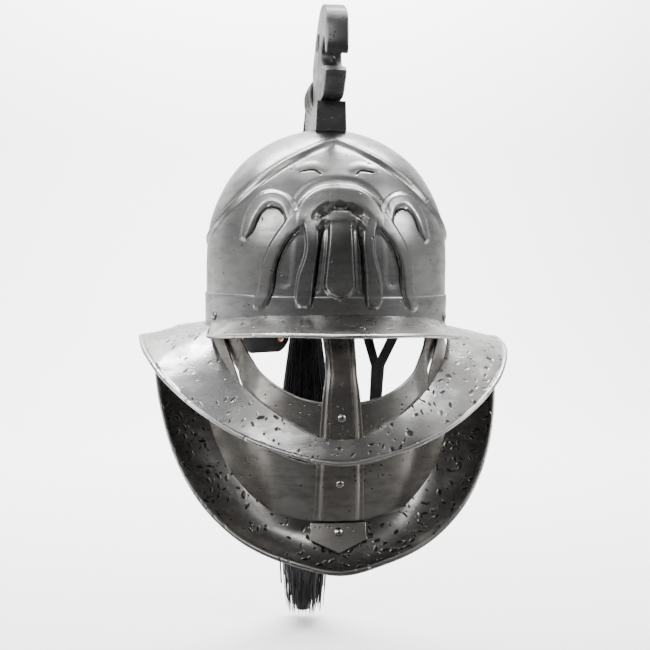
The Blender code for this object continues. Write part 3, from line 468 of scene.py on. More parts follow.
class Graph:
    """A node tree with short ways to add and join nodes."""

    def __init__(self, tree: bpy.types.NodeTree) -> None:
        """Keep the tree."""
        self.tree = tree

    def add(self, kind: str, settings: dict | None = None, **inputs: object) -> bpy.types.Node:
        """Add a node.

        Args:
            kind: its type's name after ShaderNode.
            settings: its properties.
            inputs: values or sockets for its inputs, with spaces written as underscores.

        Returns:
            The node.
        """
        node = self.tree.nodes.new(f"ShaderNode{kind}")
        for key, value in (settings or {}).items():
            setattr(node, key, value)
        for key, value in inputs.items():
            self.put(node.inputs[int(key[1:]) if key[1:].isdigit() else key.replace("_", " ")], value)
        return node

    def put(self, socket: bpy.types.NodeSocket, value: object) -> None:
        """Set an input to a value or join it to an output.

        Args:
            socket: the input.
            value: the value or the output.
        """
        if isinstance(value, bpy.types.NodeSocket):
            self.tree.links.new(value, socket)
        else:
            socket.default_value = value

    def maths(self, operation: str, a: object, b: object = 0.0, clamp: bool = False) -> bpy.types.NodeSocket:
        """Add a Math node.

        Args:
            operation: what it works out.
            a: its first value or socket.
            b: its second.
            clamp: whether the result stays between 0 and 1.

        Returns:
            Its output.
        """
        node = self.add("Math", {"operation": operation, "use_clamp": clamp})
        self.put(node.inputs[0], a)
        self.put(node.inputs[1], b)
        return node.outputs[0]

    def vector(self, operation: str, a: object, b: object = (0.0, 0.0, 0.0)) -> bpy.types.NodeSocket:
        """Add a Vector Math node.

        Args:
            operation: what it works out.
            a: its first vector or socket.
            b: its second.

        Returns:
            Its output.
        """
        node = self.add("VectorMath", {"operation": operation})
        self.put(node.inputs[0], a)
        self.put(node.inputs[1], b)
        return node.outputs["Value" if operation in ("DOT_PRODUCT", "LENGTH") else "Vector"]

    def ramp(self, value: object, low: float, high: float, to_low: float = 0.0,
             to_high: float = 1.0) -> bpy.types.NodeSocket:
        """Map a value smoothly from one range to another.

        Args:
            value: the value or socket.
            low: start of its range.
            high: end of its range.
            to_low: start of the new range.
            to_high: end of the new range.

        Returns:
            The node's output.
        """
        node = self.add("MapRange", {"interpolation_type": "SMOOTHSTEP"})
        for socket, item in zip(node.inputs, (value, low, high, to_low, to_high)):
            self.put(socket, item)
        return node.outputs[0]

    def mix(self, share: object, a: object, b: object) -> bpy.types.NodeSocket:
        """Mix two colours.

        Args:
            share: the second colour's share.
            a: the first colour or socket.
            b: the second.

        Returns:
            The node's output.
        """
        node = self.add("Mix", {"data_type": "RGBA"})
        self.put(node.inputs[0], share)
        self.put(node.inputs[6], a)
        self.put(node.inputs[7], b)
        return node.outputs[2]

    def noise(self, place: object, scale: object, detail: float, rough: float) -> bpy.types.NodeSocket:
        """Add a noise texture and give its value."""
        return self.add("TexNoise", Vector=place, Scale=scale, Detail=detail, Roughness=rough).outputs[0]

    def stretched(self, place: object, scale: tuple[float, float, float]) -> bpy.types.NodeSocket:
        """Scale a place along its axes and give the output."""
        return self.add("Mapping", Vector=place, Scale=scale).outputs[0]


def node_group(name: str, inputs: dict[str, float], outputs: tuple[str, ...]) -> tuple[Graph, object, object]:
    """Start a shader node group that works from the object's own coordinates.

    Args:
        name: the group's name.
        inputs: its number inputs and their first values.
        outputs: its number outputs.

    Returns:
        The group's graph, its input node and its output node.
    """
    tree = bpy.data.node_groups.new(name, "ShaderNodeTree")
    tree.interface.new_socket("Place", in_out="INPUT", socket_type="NodeSocketVector")
    for key, value in inputs.items():
        tree.interface.new_socket(key, in_out="INPUT", socket_type="NodeSocketFloat").default_value = value
    for key in outputs:
        tree.interface.new_socket(key, in_out="OUTPUT", socket_type="NodeSocketFloat")
    return Graph(tree), tree.nodes.new("NodeGroupInput"), tree.nodes.new("NodeGroupOutput")


def make_dent_group() -> bpy.types.NodeTree:
    """Make the group for gathered long dents and small round pits.

    Returns:
        The group.
    """
    inputs = {"Dent Scale": 90, "Dent Size": 0.003, "Dent Share": 0.5, "Pit Scale": 260, "Pit Share": 0.4}
    graph, source, result = node_group("Dents and pits", inputs, ("Depth", "Pit"))
    place = source.outputs["Place"]
    cells = graph.add("TexVoronoi", Vector=place, Scale=source.outputs["Dent Scale"])
    tint = graph.add("SeparateColor", Color=cells.outputs["Color"])
    away = graph.vector("SUBTRACT", place, cells.outputs["Position"])
    push = graph.vector("NORMALIZE", graph.vector("SUBTRACT", cells.outputs["Color"], (0.5, 0.5, 0.5)))
    size = graph.maths("MULTIPLY", source.outputs["Dent Size"], graph.ramp(tint.outputs[1], 0, 1, 0.5, 1.2))
    along = graph.maths("DIVIDE", graph.vector("DOT_PRODUCT", away, push), size)
    reach = graph.maths("DIVIDE", graph.vector("LENGTH", away), size)
    oval = graph.maths("ADD", graph.maths("MULTIPLY", reach, reach),
                       graph.maths("MULTIPLY", graph.maths("MULTIPLY", along, along), 5.0))
    bite = graph.maths("MULTIPLY", graph.ramp(oval, 1.0, 0.05), graph.ramp(along, -0.45, 0.2))
    gathered = graph.ramp(graph.noise(place, 18, 2, 0.5), 0.38, 0.60, 0.35, 1.4)
    share = graph.maths("MULTIPLY", source.outputs["Dent Share"], gathered)
    depth = graph.maths("MULTIPLY", bite, graph.maths("LESS_THAN", tint.outputs[0], share))
    dots = graph.add("TexVoronoi", Vector=place, Scale=source.outputs["Pit Scale"])
    hue = graph.add("SeparateColor", Color=dots.outputs["Color"])
    width = graph.maths("MULTIPLY", hue.outputs[1], 0.34)
    spot = graph.ramp(graph.maths("SUBTRACT", width, dots.outputs["Distance"]), -0.03, 0.14)
    spread = graph.maths("MULTIPLY", source.outputs["Pit Share"], gathered)
    pit = graph.maths("MULTIPLY", spot, graph.maths("LESS_THAN", hue.outputs[0], spread))
    graph.put(result.inputs["Depth"], depth)
    graph.put(result.inputs["Pit"], pit)
    return graph.tree


def make_burnish_group() -> bpy.types.NodeTree:
    """Make the group for a worn polish: clouds, hazy smears and fine scratches.

    Returns:
        The group.
    """
    graph, source, result = node_group("Worn polish", {"Cloud Scale": 16, "Scratch Scale": 400},
                                       ("Cloud", "Smear", "Scratch", "Wave"))
    place = source.outputs["Place"]
    cloud = graph.noise(place, source.outputs["Cloud Scale"], 5, 0.6)
    smear = graph.noise(graph.stretched(place, (1.0, 1.0, 3.5)), 46, 4, 0.65)
    lines = graph.noise(graph.stretched(place, (0.25, 0.25, 5.0)), source.outputs["Scratch Scale"], 2, 0.5)
    wave = graph.noise(place, 30, 1.5, 0.4)
    graph.put(result.inputs["Cloud"], graph.ramp(cloud, 0.32, 0.68))
    graph.put(result.inputs["Smear"], graph.ramp(smear, 0.42, 0.72))
    graph.put(result.inputs["Scratch"], graph.ramp(lines, 0.35, 0.65))
    graph.put(result.inputs["Wave"], wave)
    return graph.tree


def make_grain_group() -> bpy.types.NodeTree:
    """Make the group for the fine grain of hide, thread and hair.

    Returns:
        The group.
    """
    graph, source, result = node_group("Fine grain", {"Grain Scale": 700}, ("Grain", "Cloud"))
    place = source.outputs["Place"]
    scale = source.outputs["Grain Scale"]
    cells = graph.add("TexVoronoi", {"feature": "SMOOTH_F1"}, Vector=place, Scale=scale)
    cloud = graph.noise(place, 60, 4, 0.6)
    graph.put(result.inputs["Grain"], graph.ramp(cells.outputs["Distance"], 0.1, 0.6))
    graph.put(result.inputs["Cloud"], graph.ramp(cloud, 0.35, 0.7))
    return graph.tree


class Groups:
    """The shared node groups, each built once."""

    def __init__(self) -> None:
        """Build the groups."""
        self.dents = make_dent_group()
        self.burnish = make_burnish_group()
        self.grain = make_grain_group()


Colour = tuple[float, float, float, float]


def grey(value: float, warm: float = 0.0) -> Colour:
    """Give a grey, warmed or cooled a little."""
    return (value * (1 + warm), value, value * (1 - warm), 1.0)


@dataclass(frozen=True)
class MetalFinish:
    """A metal with a worn polish, dents and pits."""

    name: str
    clean: Colour
    dull: Colour
    dark: Colour
    smooth: float
    rough: float
    dent_scale: float = 90.0
    dent_size: float = 0.003
    dent_share: float = 0.4
    dent_depth: float = 0.0004
    pit_scale: float = 260.0
    pit_share: float = 0.3
    pit_depth: float = 0.00025
    cloud_scale: float = 16.0
    wave_depth: float = 0.0006
    scratch_depth: float = 0.000012
    smear_share: float = 0.35
    # How far pits (dark oxide) and dents (painted shade) are darkened.
    pit_oxide_and_dent_shade_share: float = 0.85
    # Share and gain of the painted highlight on marked edges.
    highlight_share: float = 0.7
    highlight_gain: float = 1.18
    edge_grey: float = 0.4

    def build(self, groups: Groups) -> bpy.types.Material:
        """Build the material.

        Args:
            groups: the shared node groups.

        Returns:
            The material.
        """
        made = bpy.data.materials.new(self.name)
        made.use_nodes = True
        graph = Graph(made.node_tree)
        shader = made.node_tree.nodes["Principled BSDF"]
        place = graph.add("TexCoord").outputs["Object"]
        marks = graph.add("Group", {"node_tree": groups.dents}, Place=place, Dent_Scale=self.dent_scale,
                          Dent_Size=self.dent_size, Dent_Share=self.dent_share, Pit_Scale=self.pit_scale,
                          Pit_Share=self.pit_share)
        polish = graph.add("Group", {"node_tree": groups.burnish}, Place=place, Cloud_Scale=self.cloud_scale)
        edge_highlight = graph.add("Attribute", {"attribute_name": "edge_highlight"}).outputs["Fac"]
        base = graph.mix(polish.outputs["Cloud"], self.clean, self.dull)
        base = graph.mix(graph.maths("MULTIPLY", polish.outputs["Smear"], self.smear_share), base, self.dark)
        # Pits take the dark colour of oxide in them. Dents take it too, as painted shade in their hollows.
        sunk = graph.maths("MAXIMUM", marks.outputs["Pit"], graph.ramp(marks.outputs["Depth"], 0.05, 0.6))
        base = graph.mix(graph.maths("MULTIPLY", sunk, self.pit_oxide_and_dent_shade_share), base, self.dark)
        # Painted highlight: beads, rib tops and the band's step, as marked in the point attribute, are
        # lightened towards a brighter copy of the clean colour.
        highlight_colour = tuple(min(1.0, self.highlight_gain * c) for c in self.clean[:3]) + (1.0,)
        base = graph.mix(graph.maths("MULTIPLY", edge_highlight, self.highlight_share), base, highlight_colour)
        hazy = graph.maths("ADD", graph.maths("MULTIPLY", polish.outputs["Cloud"], 0.6),
                           graph.maths("MULTIPLY", polish.outputs["Smear"], 0.4))
        hazy = graph.maths("MAXIMUM", hazy, sunk)
        graph.put(shader.inputs["Base Color"], base)
        graph.put(shader.inputs["Roughness"], graph.ramp(hazy, 0.0, 1.0, self.smooth, self.rough))
        shader.inputs["Metallic"].default_value = 1.0
        shader.inputs["Specular Tint"].default_value = grey(self.edge_grey)
        height = graph.maths("MULTIPLY", marks.outputs["Depth"], -self.dent_depth)
        for part, depth in ((marks.outputs["Pit"], -self.pit_depth),
                            (polish.outputs["Scratch"], self.scratch_depth),
                            (polish.outputs["Wave"], self.wave_depth)):
            height = graph.maths("ADD", height, graph.maths("MULTIPLY", part, depth))
        bump = graph.add("Bump", Height=height, Distance=1.0)
        graph.put(shader.inputs["Normal"], bump.outputs[0])
        return made


@dataclass(frozen=True)
class SoftFinish:
    """Hide, hair or thread with a fine grain."""

    name: str
    clean: Colour
    dull: Colour
    smooth: float
    rough: float
    grain_scale: float
    grain_depth: float
    shine: float = 0.5

    def build(self, groups: Groups) -> bpy.types.Material:
        """Build the material.

        Args:
            groups: the shared node groups.

        Returns:
            The material.
        """
        made = bpy.data.materials.new(self.name)
        made.use_nodes = True
        graph = Graph(made.node_tree)
        shader = made.node_tree.nodes["Principled BSDF"]
        place = graph.add("TexCoord").outputs["Object"]
        grain = graph.add("Group", {"node_tree": groups.grain}, Place=place, Grain_Scale=self.grain_scale)
        cloud = grain.outputs["Cloud"]
        graph.put(shader.inputs["Base Color"], graph.mix(cloud, self.clean, self.dull))
        graph.put(shader.inputs["Roughness"], graph.ramp(cloud, 0.0, 1.0, self.smooth, self.rough))
        shader.inputs["Specular IOR Level"].default_value = self.shine
        height = graph.maths("MULTIPLY", grain.outputs["Grain"], self.grain_depth)
        bump = graph.add("Bump", Height=height, Distance=1.0)
        graph.put(shader.inputs["Normal"], bump.outputs[0])
        return made


class Finishes:
    """Every material of the helmet."""

    def __init__(self, groups: Groups) -> None:
        """Build the materials.

        Args:
            groups: the shared node groups.
        """
        self.steel = MetalFinish(
            "Burnished steel", grey(0.39, 0.006), grey(0.27, 0.02), grey(0.05, 0.05), 0.28, 0.42,
            dent_scale=110, dent_size=0.0022, dent_share=0.12, dent_depth=0.0003, pit_scale=230,
            pit_share=0.2, scratch_depth=0.00002).build(groups)
        # Dark inside finish: painted shade for the shadow within the bowl and in the slits.
        self.inside = MetalFinish(
            "Steel inside painted shade", grey(0.10, 0.03), grey(0.06, 0.05), grey(0.02, 0.05), 0.4, 0.6, dent_share=0.0,
            pit_share=0.2).build(groups)
        self.brim = MetalFinish(
            "Brim steel", grey(0.52, 0.012), grey(0.35, 0.03), grey(0.05, 0.05), 0.26, 0.42,
            dent_scale=150, dent_size=0.0036, dent_share=0.55, dent_depth=0.0007, pit_scale=240,
            pit_share=0.28, scratch_depth=0.00002).build(groups)
        self.dark = MetalFinish(
            "Dark steel", grey(0.25, 0.02), grey(0.14, 0.05), grey(0.02, 0.1), 0.28, 0.46, dent_scale=165,
            dent_size=0.0036, dent_share=0.90, dent_depth=0.0008, pit_scale=240, pit_share=0.5).build(groups)
        self.chin = MetalFinish(
            "Chin steel", grey(0.38, 0.04), grey(0.26, 0.08), grey(0.04, 0.08), 0.32, 0.48, dent_scale=120,
            dent_size=0.002, dent_share=0.25, dent_depth=0.0004, pit_scale=260, pit_share=0.5,
            scratch_depth=0.00002).build(groups)
        self.bar = MetalFinish(
            "Nose bar steel", grey(0.37, 0.05), grey(0.24, 0.1), grey(0.04, 0.1), 0.32, 0.48,
            dent_scale=100, dent_size=0.0025, dent_share=0.15, dent_depth=0.0004, pit_scale=260,
            pit_share=0.45).build(groups)
        self.cast = MetalFinish(
            "Cast metal", grey(0.24, -0.02), grey(0.15, 0.02), grey(0.03, 0.05), 0.32, 0.50,
            dent_scale=150, dent_size=0.0016, dent_share=0.2, dent_depth=0.0003, pit_scale=300,
            pit_share=0.5, wave_depth=0.0008).build(groups)
        self.neck = MetalFinish(
            "Neck steel", grey(0.36, 0.02), grey(0.23, 0.03), grey(0.06, 0.05), 0.28, 0.46, dent_scale=150,
            dent_size=0.0016, dent_share=0.15, dent_depth=0.0003, pit_scale=300, pit_share=0.35).build(groups)
        self.nickel = MetalFinish(
            "Nickel", grey(0.66, 0.03), grey(0.5, 0.05), grey(0.15, 0.05), 0.18, 0.3, dent_share=0.0,
            pit_share=0.15, wave_depth=0.0002).build(groups)
        self.copper = MetalFinish(
            "Copper", (0.72, 0.36, 0.24, 1), (0.5, 0.22, 0.14, 1), (0.15, 0.06, 0.04, 1), 0.2, 0.34,
            dent_share=0.0, pit_share=0.1, wave_depth=0.0002).build(groups)
        self.hide = SoftFinish(
            "Black hide", (0.012, 0.012, 0.013, 1), (0.028, 0.026, 0.025, 1), 0.42, 0.62,
            1100, 0.00012).build(groups)
        self.hair = SoftFinish(
            "Horsehair", (0.004, 0.004, 0.005, 1), (0.012, 0.012, 0.014, 1), 0.34, 0.5,
            900, 0.00003, 0.15).build(groups)
        self.thread = SoftFinish(
            "Red thread", (0.45, 0.01, 0.03, 1), (0.28, 0.008, 0.02, 1), 0.5, 0.7,
            1500, 0.00008).build(groups)


# The crown


@dataclass(frozen=True)
class Bowl:
    """The crown's outer shape."""

    half_width: float = 0.112
    half_length: float = 0.1144
    height: float = 0.182
    band_height: float = 0.030
    band_proud: float = 0.0012
    sections: Rows = (
        (0.000, 0.995, 0.995), (0.165, 1.000, 1.000), (0.280, 1.000, 1.022), (0.400, 0.996, 1.040),
        (0.510, 0.975, 1.020), (0.610, 0.925, 0.950), (0.690, 0.865, 0.880), (0.765, 0.790, 0.790),
        (0.835, 0.690, 0.680), (0.895, 0.565, 0.550), (0.945, 0.420, 0.410), (0.982, 0.245, 0.240),
        (0.997, 0.090, 0.090),
    )

    def radius(self, angle: np.ndarray | float, height: np.ndarray | float) -> np.ndarray:
        """Give the radius above the band's step.

        Args:
            angle: degrees from the face.
            height: heights over the rim.

        Returns:
            The outer radii.
        """
        share = np.asarray(height) / self.height
        wide = self.half_width * monotone(self.sections, 1, share)
        long = self.half_length * monotone(self.sections, 2, share)
        turn = np.radians(angle)
        return 1 / np.hypot(np.sin(turn) / wide, np.cos(turn) / long)

    def rim(self, angle: np.ndarray | float, height: np.ndarray | float = 0.0) -> np.ndarray:
        """Give the band's outer radius at angles and heights."""
        return self.radius(angle, height) + self.band_proud


BOWL = Bowl()


@dataclass(frozen=True)
class Stroke:
    """A raised or sunk line of the forehead ornament, in millimetres, seen from the front.

    Each point holds x, z, half-width and height.
    """

    points: Rows
    soft: float = 3.0

    def heights(self, x: np.ndarray, z: np.ndarray) -> np.ndarray:
        """Give its heights in millimetres, alike on both sides.

        Args:
            x: places across, in millimetres.
            z: places up, in millimetres.

        Returns:
            The heights there.
        """
        x = np.abs(x)
        line = smooth_line(np.array(self.points), 6 * len(self.points))
        best = np.zeros(x.shape)
        for (x0, z0, w0, h0), (x1, z1, w1, h1) in zip(line, line[1:]):
            dx, dz = x1 - x0, z1 - z0
            t = np.clip(((x - x0) * dx + (z - z0) * dz) / (dx * dx + dz * dz), 0, 1)
            away = np.hypot(x - x0 - t * dx, z - z0 - t * dz)
            inside = np.clip((w0 + (w1 - w0) * t - away) / self.soft, 0, 1)
            rise = (h0 + (h1 - h0) * t) * inside * inside * (3 - 2 * inside)
            best = np.where(np.abs(rise) > np.abs(best), rise, best)
        return best


@dataclass
class Crown:
    """The domed bowl with its band, brow ridge, keel and pierced forehead ornament."""

    finishes: Finishes
    raised: tuple[Stroke, ...] = (
        Stroke(((0, 113, 11.5, 4.2), (12, 111.5, 11.5, 4.2), (22, 106, 10.8, 4.0), (29, 98, 9.5, 3.6),
                (32, 90, 8.5, 3.0)), 6.0),
        Stroke(((33, 95, 8, 3.0), (42, 84.5, 7.2, 3.0), (50.5, 72, 6.8, 2.8), (57, 57, 6.6, 2.8),
                (59.5, 42, 6.6, 2.8), (61, 32, 6.6, 2.8), (65, 23, 6.0, 2.6)), 2.6),
        Stroke(((24, 96, 7.5, 3.4), (23.6, 86, 6.6, 3.4), (22.8, 72, 6.0, 3.4), (24.4, 60, 6.2, 3.4),
                (27.6, 45, 7.6, 3.4), (29, 30, 8, 3.4), (29, 27, 7.8, 3.2)), 2.6),
        Stroke(((0, 96, 11.2, 4.2), (0, 80, 11.3, 4.2), (0, 60, 12.6, 4.2), (0, 41.5, 14, 4.2)), 3.4),
        Stroke(((0, 95, 6.0, 4.6), (10, 93, 5.6, 4.4), (18, 88.5, 5, 3.6)), 3.0),
        Stroke(((38, 90, 7, 2.4), (41, 101, 7, 2.4), (46, 109, 7, 2.4), (55, 112.5, 7, 2.4),
                (63, 110, 7, 2.3), (70, 101, 6.6, 2.2), (74.5, 90, 6, 2.0), (77.5, 80, 5, 1.8)), 4.0),
        Stroke(((11, 138, 5.0, 0.7), (20, 140, 5.4, 0.9), (31, 138.5, 5.0, 0.7)), 5.0),
    )
    sunk: tuple[Stroke, ...] = (
        Stroke(((0, 103.3, 3.9, -4.2), (10, 101.8, 3.8, -4.0), (17.5, 97.6, 3.2, -3.0),
                (22, 94, 2.2, -1.2)), 2.6),
        Stroke(((40, 78, 5, -0.6), (44, 62, 8, -0.8), (46, 44, 9, -0.8)), 6.0),
        Stroke(((14, 90, 3.4, -1.2), (16, 72, 3.6, -1.4), (18, 52, 4.0, -1.4), (18.5, 36, 4.0, -1.0)), 3.0),
        Stroke(((0, 127.5, 4.6, -0.8), (16, 125.5, 4.6, -0.8), (29, 118, 4.4, -0.8), (38, 107, 3.6, -0.6),
                (41, 98, 3.0, -0.3)), 4.0),
    )
    ridge: Rows = ((0, 0.905), (12, 0.875), (24, 0.822), (40, 0.722), (56, 0.588), (75, 0.472), (99, 0.412))
    slits: tuple[Rows, ...] = (
        ((16, 0.478), (20, 0.434), (23.5, 0.374), (26.3, 0.302), (27.8, 0.209), (30.7, 0.117)),
        ((6.6, 0.490), (8.2, 0.400), (9.4, 0.290), (10.4, 0.200), (11.6, 0.117)),
        ((24, 0.535), (26, 0.560), (30, 0.573), (33.5, 0.560), (35.5, 0.528), (37.5, 0.472), (41, 0.428)),
        ((8.7, 0.728), (12.5, 0.747), (19.6, 0.740)),
    )
    ridge_humps: Rows = ((2.3, 0, 2.5), (-0.6, 5.2, 1.6))
    keel_humps: Rows = ((2.0, 2.6, 1.2), (1.1, 0, 2.2))
    keel_top: float = 0.945
    keel_low: float = 0.10
    uneven: float = 0.00012
    slit_half: float = 0.0011
    slit_in: float = 0.006
    slit_out: float = 0.008
    band_rows: int = 20
    dome_rows: int = 128
    fine_to: int = 42
    fine_turn: float = 0.35
    coarse_turn: float = 1.2
    inner_step: int = 4
    edge_rows: int = 5
    step_width: float = 0.0007
    step_highlight: float = 0.8

    def heights(self) -> np.ndarray:
        """Give the heights of the rows of points, closer together at the band's step.

        Returns:
            The heights from the rim up.
        """
        band = BOWL.band_height
        low = np.linspace(0, band - 0.4 * MM, self.band_rows)
        step = [band + 0.1 * MM, band + 0.5 * MM]
        fine = np.linspace(band + 1.5 * MM, BOWL.height * BOWL.sections[-1][0], 900)
        reach = BOWL.radius(90.0, fine)
        length = np.r_[0, np.cumsum(np.hypot(np.diff(fine), np.diff(reach)))]
        return np.r_[low, step, np.interp(np.linspace(0, length[-1], self.dome_rows), length, fine)]

    def relief(self, base: np.ndarray) -> np.ndarray:
        """Give the heights of band, ornament, ridge and keel over the plain bowl.

        Args:
            base: points of the plain bowl.

        Returns:
            Heights in metres.
        """
        x, y, z = base[..., 0] / MM, base[..., 1], base[..., 2] / MM
        band = np.clip((BOWL.band_height / MM + 0.5 - z) / 0.5, 0, 1) * BOWL.band_proud / MM
        front = band
        for stroke in self.raised:
            front = np.maximum(front, stroke.heights(x, z))
        for stroke in self.sunk:
            front = front + stroke.heights(x, z)
        total = np.where(y < 0, front, band) * MM
        line = [(-a, s) for a, s in reversed(self.ridge[1:])] + list(self.ridge)
        path = smooth_line(self.on_bowl(line), 90)
        away = path_distance(base, path) / MM
        total += MM * profile(self.ridge_humps, away)
        shares = np.linspace(self.keel_low, self.keel_top, 30)
        keel = self.on_bowl([(180.0, s) for s in shares])
        away = path_distance(base, keel) / MM
        total += MM * np.where(y > 0, profile(self.keel_humps, away), 0)
        return total

    def on_bowl(self, line: list[tuple[float, float]]) -> np.ndarray:
        """Turn a line on the bowl into points.

        Args:
            line: angles and shares of the bowl's height.

        Returns:
            The points.
        """
        angle = np.array([row[0] for row in line])
        height = np.array([row[1] for row in line]) * BOWL.height
        return polar(angle, BOWL.radius(angle, height), height)

    def cutter(self) -> bpy.types.Object:
        """Make the slits' cutting form.

        Returns:
            One object that holds every slit.
        """
        parts = []
        for slit in self.slits:
            for side in (-1, 1):
                path = smooth_line(self.on_bowl([(side * a, s) for a, s in slit]), 28)
                run = unit(np.gradient(path, axis=0))
                steep = np.clip((path[:, 2:] / BOWL.height - 0.45) / 0.3, 0, 1)
                out = unit(path * np.array([1.0, 1.0, 0.0]))
                out = unit(out + np.array([0, 0, 1.0]) * steep * 0.75)
                across = unit(np.cross(out, run))
                t = np.linspace(0, 1, len(path))
                half = self.slit_half * np.sqrt(np.clip(1 - (2 * t - 1) ** 8, 0.06, 1))[:, None]
                deep, high = out * self.slit_in, out * self.slit_out
                rings = [path - across * half - deep, path + across * half - deep,
                         path + across * half + high, path - across * half + high]
                parts.append((np.stack(rings, 1), False))
        return merged("slit_cutter", parts)

    def build(self) -> None:
        """Build and dress the crown."""
        heights = self.heights()
        turns = np.r_[np.arange(-self.fine_to, self.fine_to, self.fine_turn),
                      np.arange(self.fine_to, 360 - self.fine_to, self.coarse_turn)]
        angle, height = np.meshgrid(turns, heights)
        base = polar(angle, BOWL.radius(angle, height), height)
        along = np.roll(base, -1, 1) - np.roll(base, 1, 1)
        out = unit(np.cross(along, np.gradient(base, axis=0)))
        relief = self.relief(base) + beaten(base, self.uneven)
        outer = base + out * relief[..., None]
        outer[0] = polar(turns, BOWL.rim(turns), 0.0)
        reach = self.inner_step
        lowest = np.min([np.roll(relief, k, 0) for k in range(-reach, reach + 1)], axis=0)
        ends = self.edge_rows
        lowest[:ends], lowest[-ends:] = relief[:ends].min(), relief[-ends:].min()
        inner = (base + out * (lowest - SHEET)[..., None])[::reach]
        inner[0, :, 2] = 0
        # Painted highlight: a bright line along the band's step.
        step = swell(height, BOWL.band_height, self.step_width) * self.step_highlight
        crown = self.shell(outer, inner, step)
        cutter = self.cutter()
        # The inner side and the slits' cut walls take the dark inside finish: painted shade.
        for obj in (crown, cutter):
            for finish in (self.finishes.steel, self.finishes.inside):
                obj.data.materials.append(finish)
        start, top = outer[..., 0].size, len(crown.data.vertices) - 2
        inner_shade_faces = [any(v >= start and v != top for v in face.vertices) for face in crown.data.polygons]
        crown.data.polygons.foreach_set("material_index", inner_shade_faces)
        cutter.data.polygons.foreach_set("material_index", [1] * len(cutter.data.polygons))
        cut(crown, cutter)
        present(crown, None, Slot.STEEL, "crown")

    def shell(self, outer: np.ndarray, inner: np.ndarray, edge_highlight: np.ndarray) -> bpy.types.Object:
        """Join the outer and inner sides into one closed sheet.

        Args:
            outer: the outer side's points, as (rows, columns, 3).
            inner: the inner side's, with as many columns.
            edge_highlight: how much painted highlight the outer points get.

        Returns:
            The bowl.
        """
        rows, count = outer.shape[:2]
        start = rows * count
        low = len(inner)
        tops = [[0, 0, BOWL.height], [0, 0, BOWL.height - SHEET]]
        vertices = np.vstack([outer.reshape(-1, 3), inner.reshape(-1, 3), tops])
        faces = ring_faces(rows, count, False) + ring_faces(low, count, False, start)
        k = np.arange(count)
        n = (k + 1) % count
        faces += np.stack([k, n, start + n, start + k], 1).tolist()
        for last, top in ((start - count, len(vertices) - 2), (start + (low - 1) * count, len(vertices) - 1)):
            faces += [[last + a, last + b, top] for a, b in zip(k.tolist(), n.tolist())]
        edge = np.zeros(len(vertices))
        edge[:start] = edge_highlight.ravel()
        return mesh_object("crown_bowl", vertices, faces, edge, sharp=50)


# Sheet metal round the crown


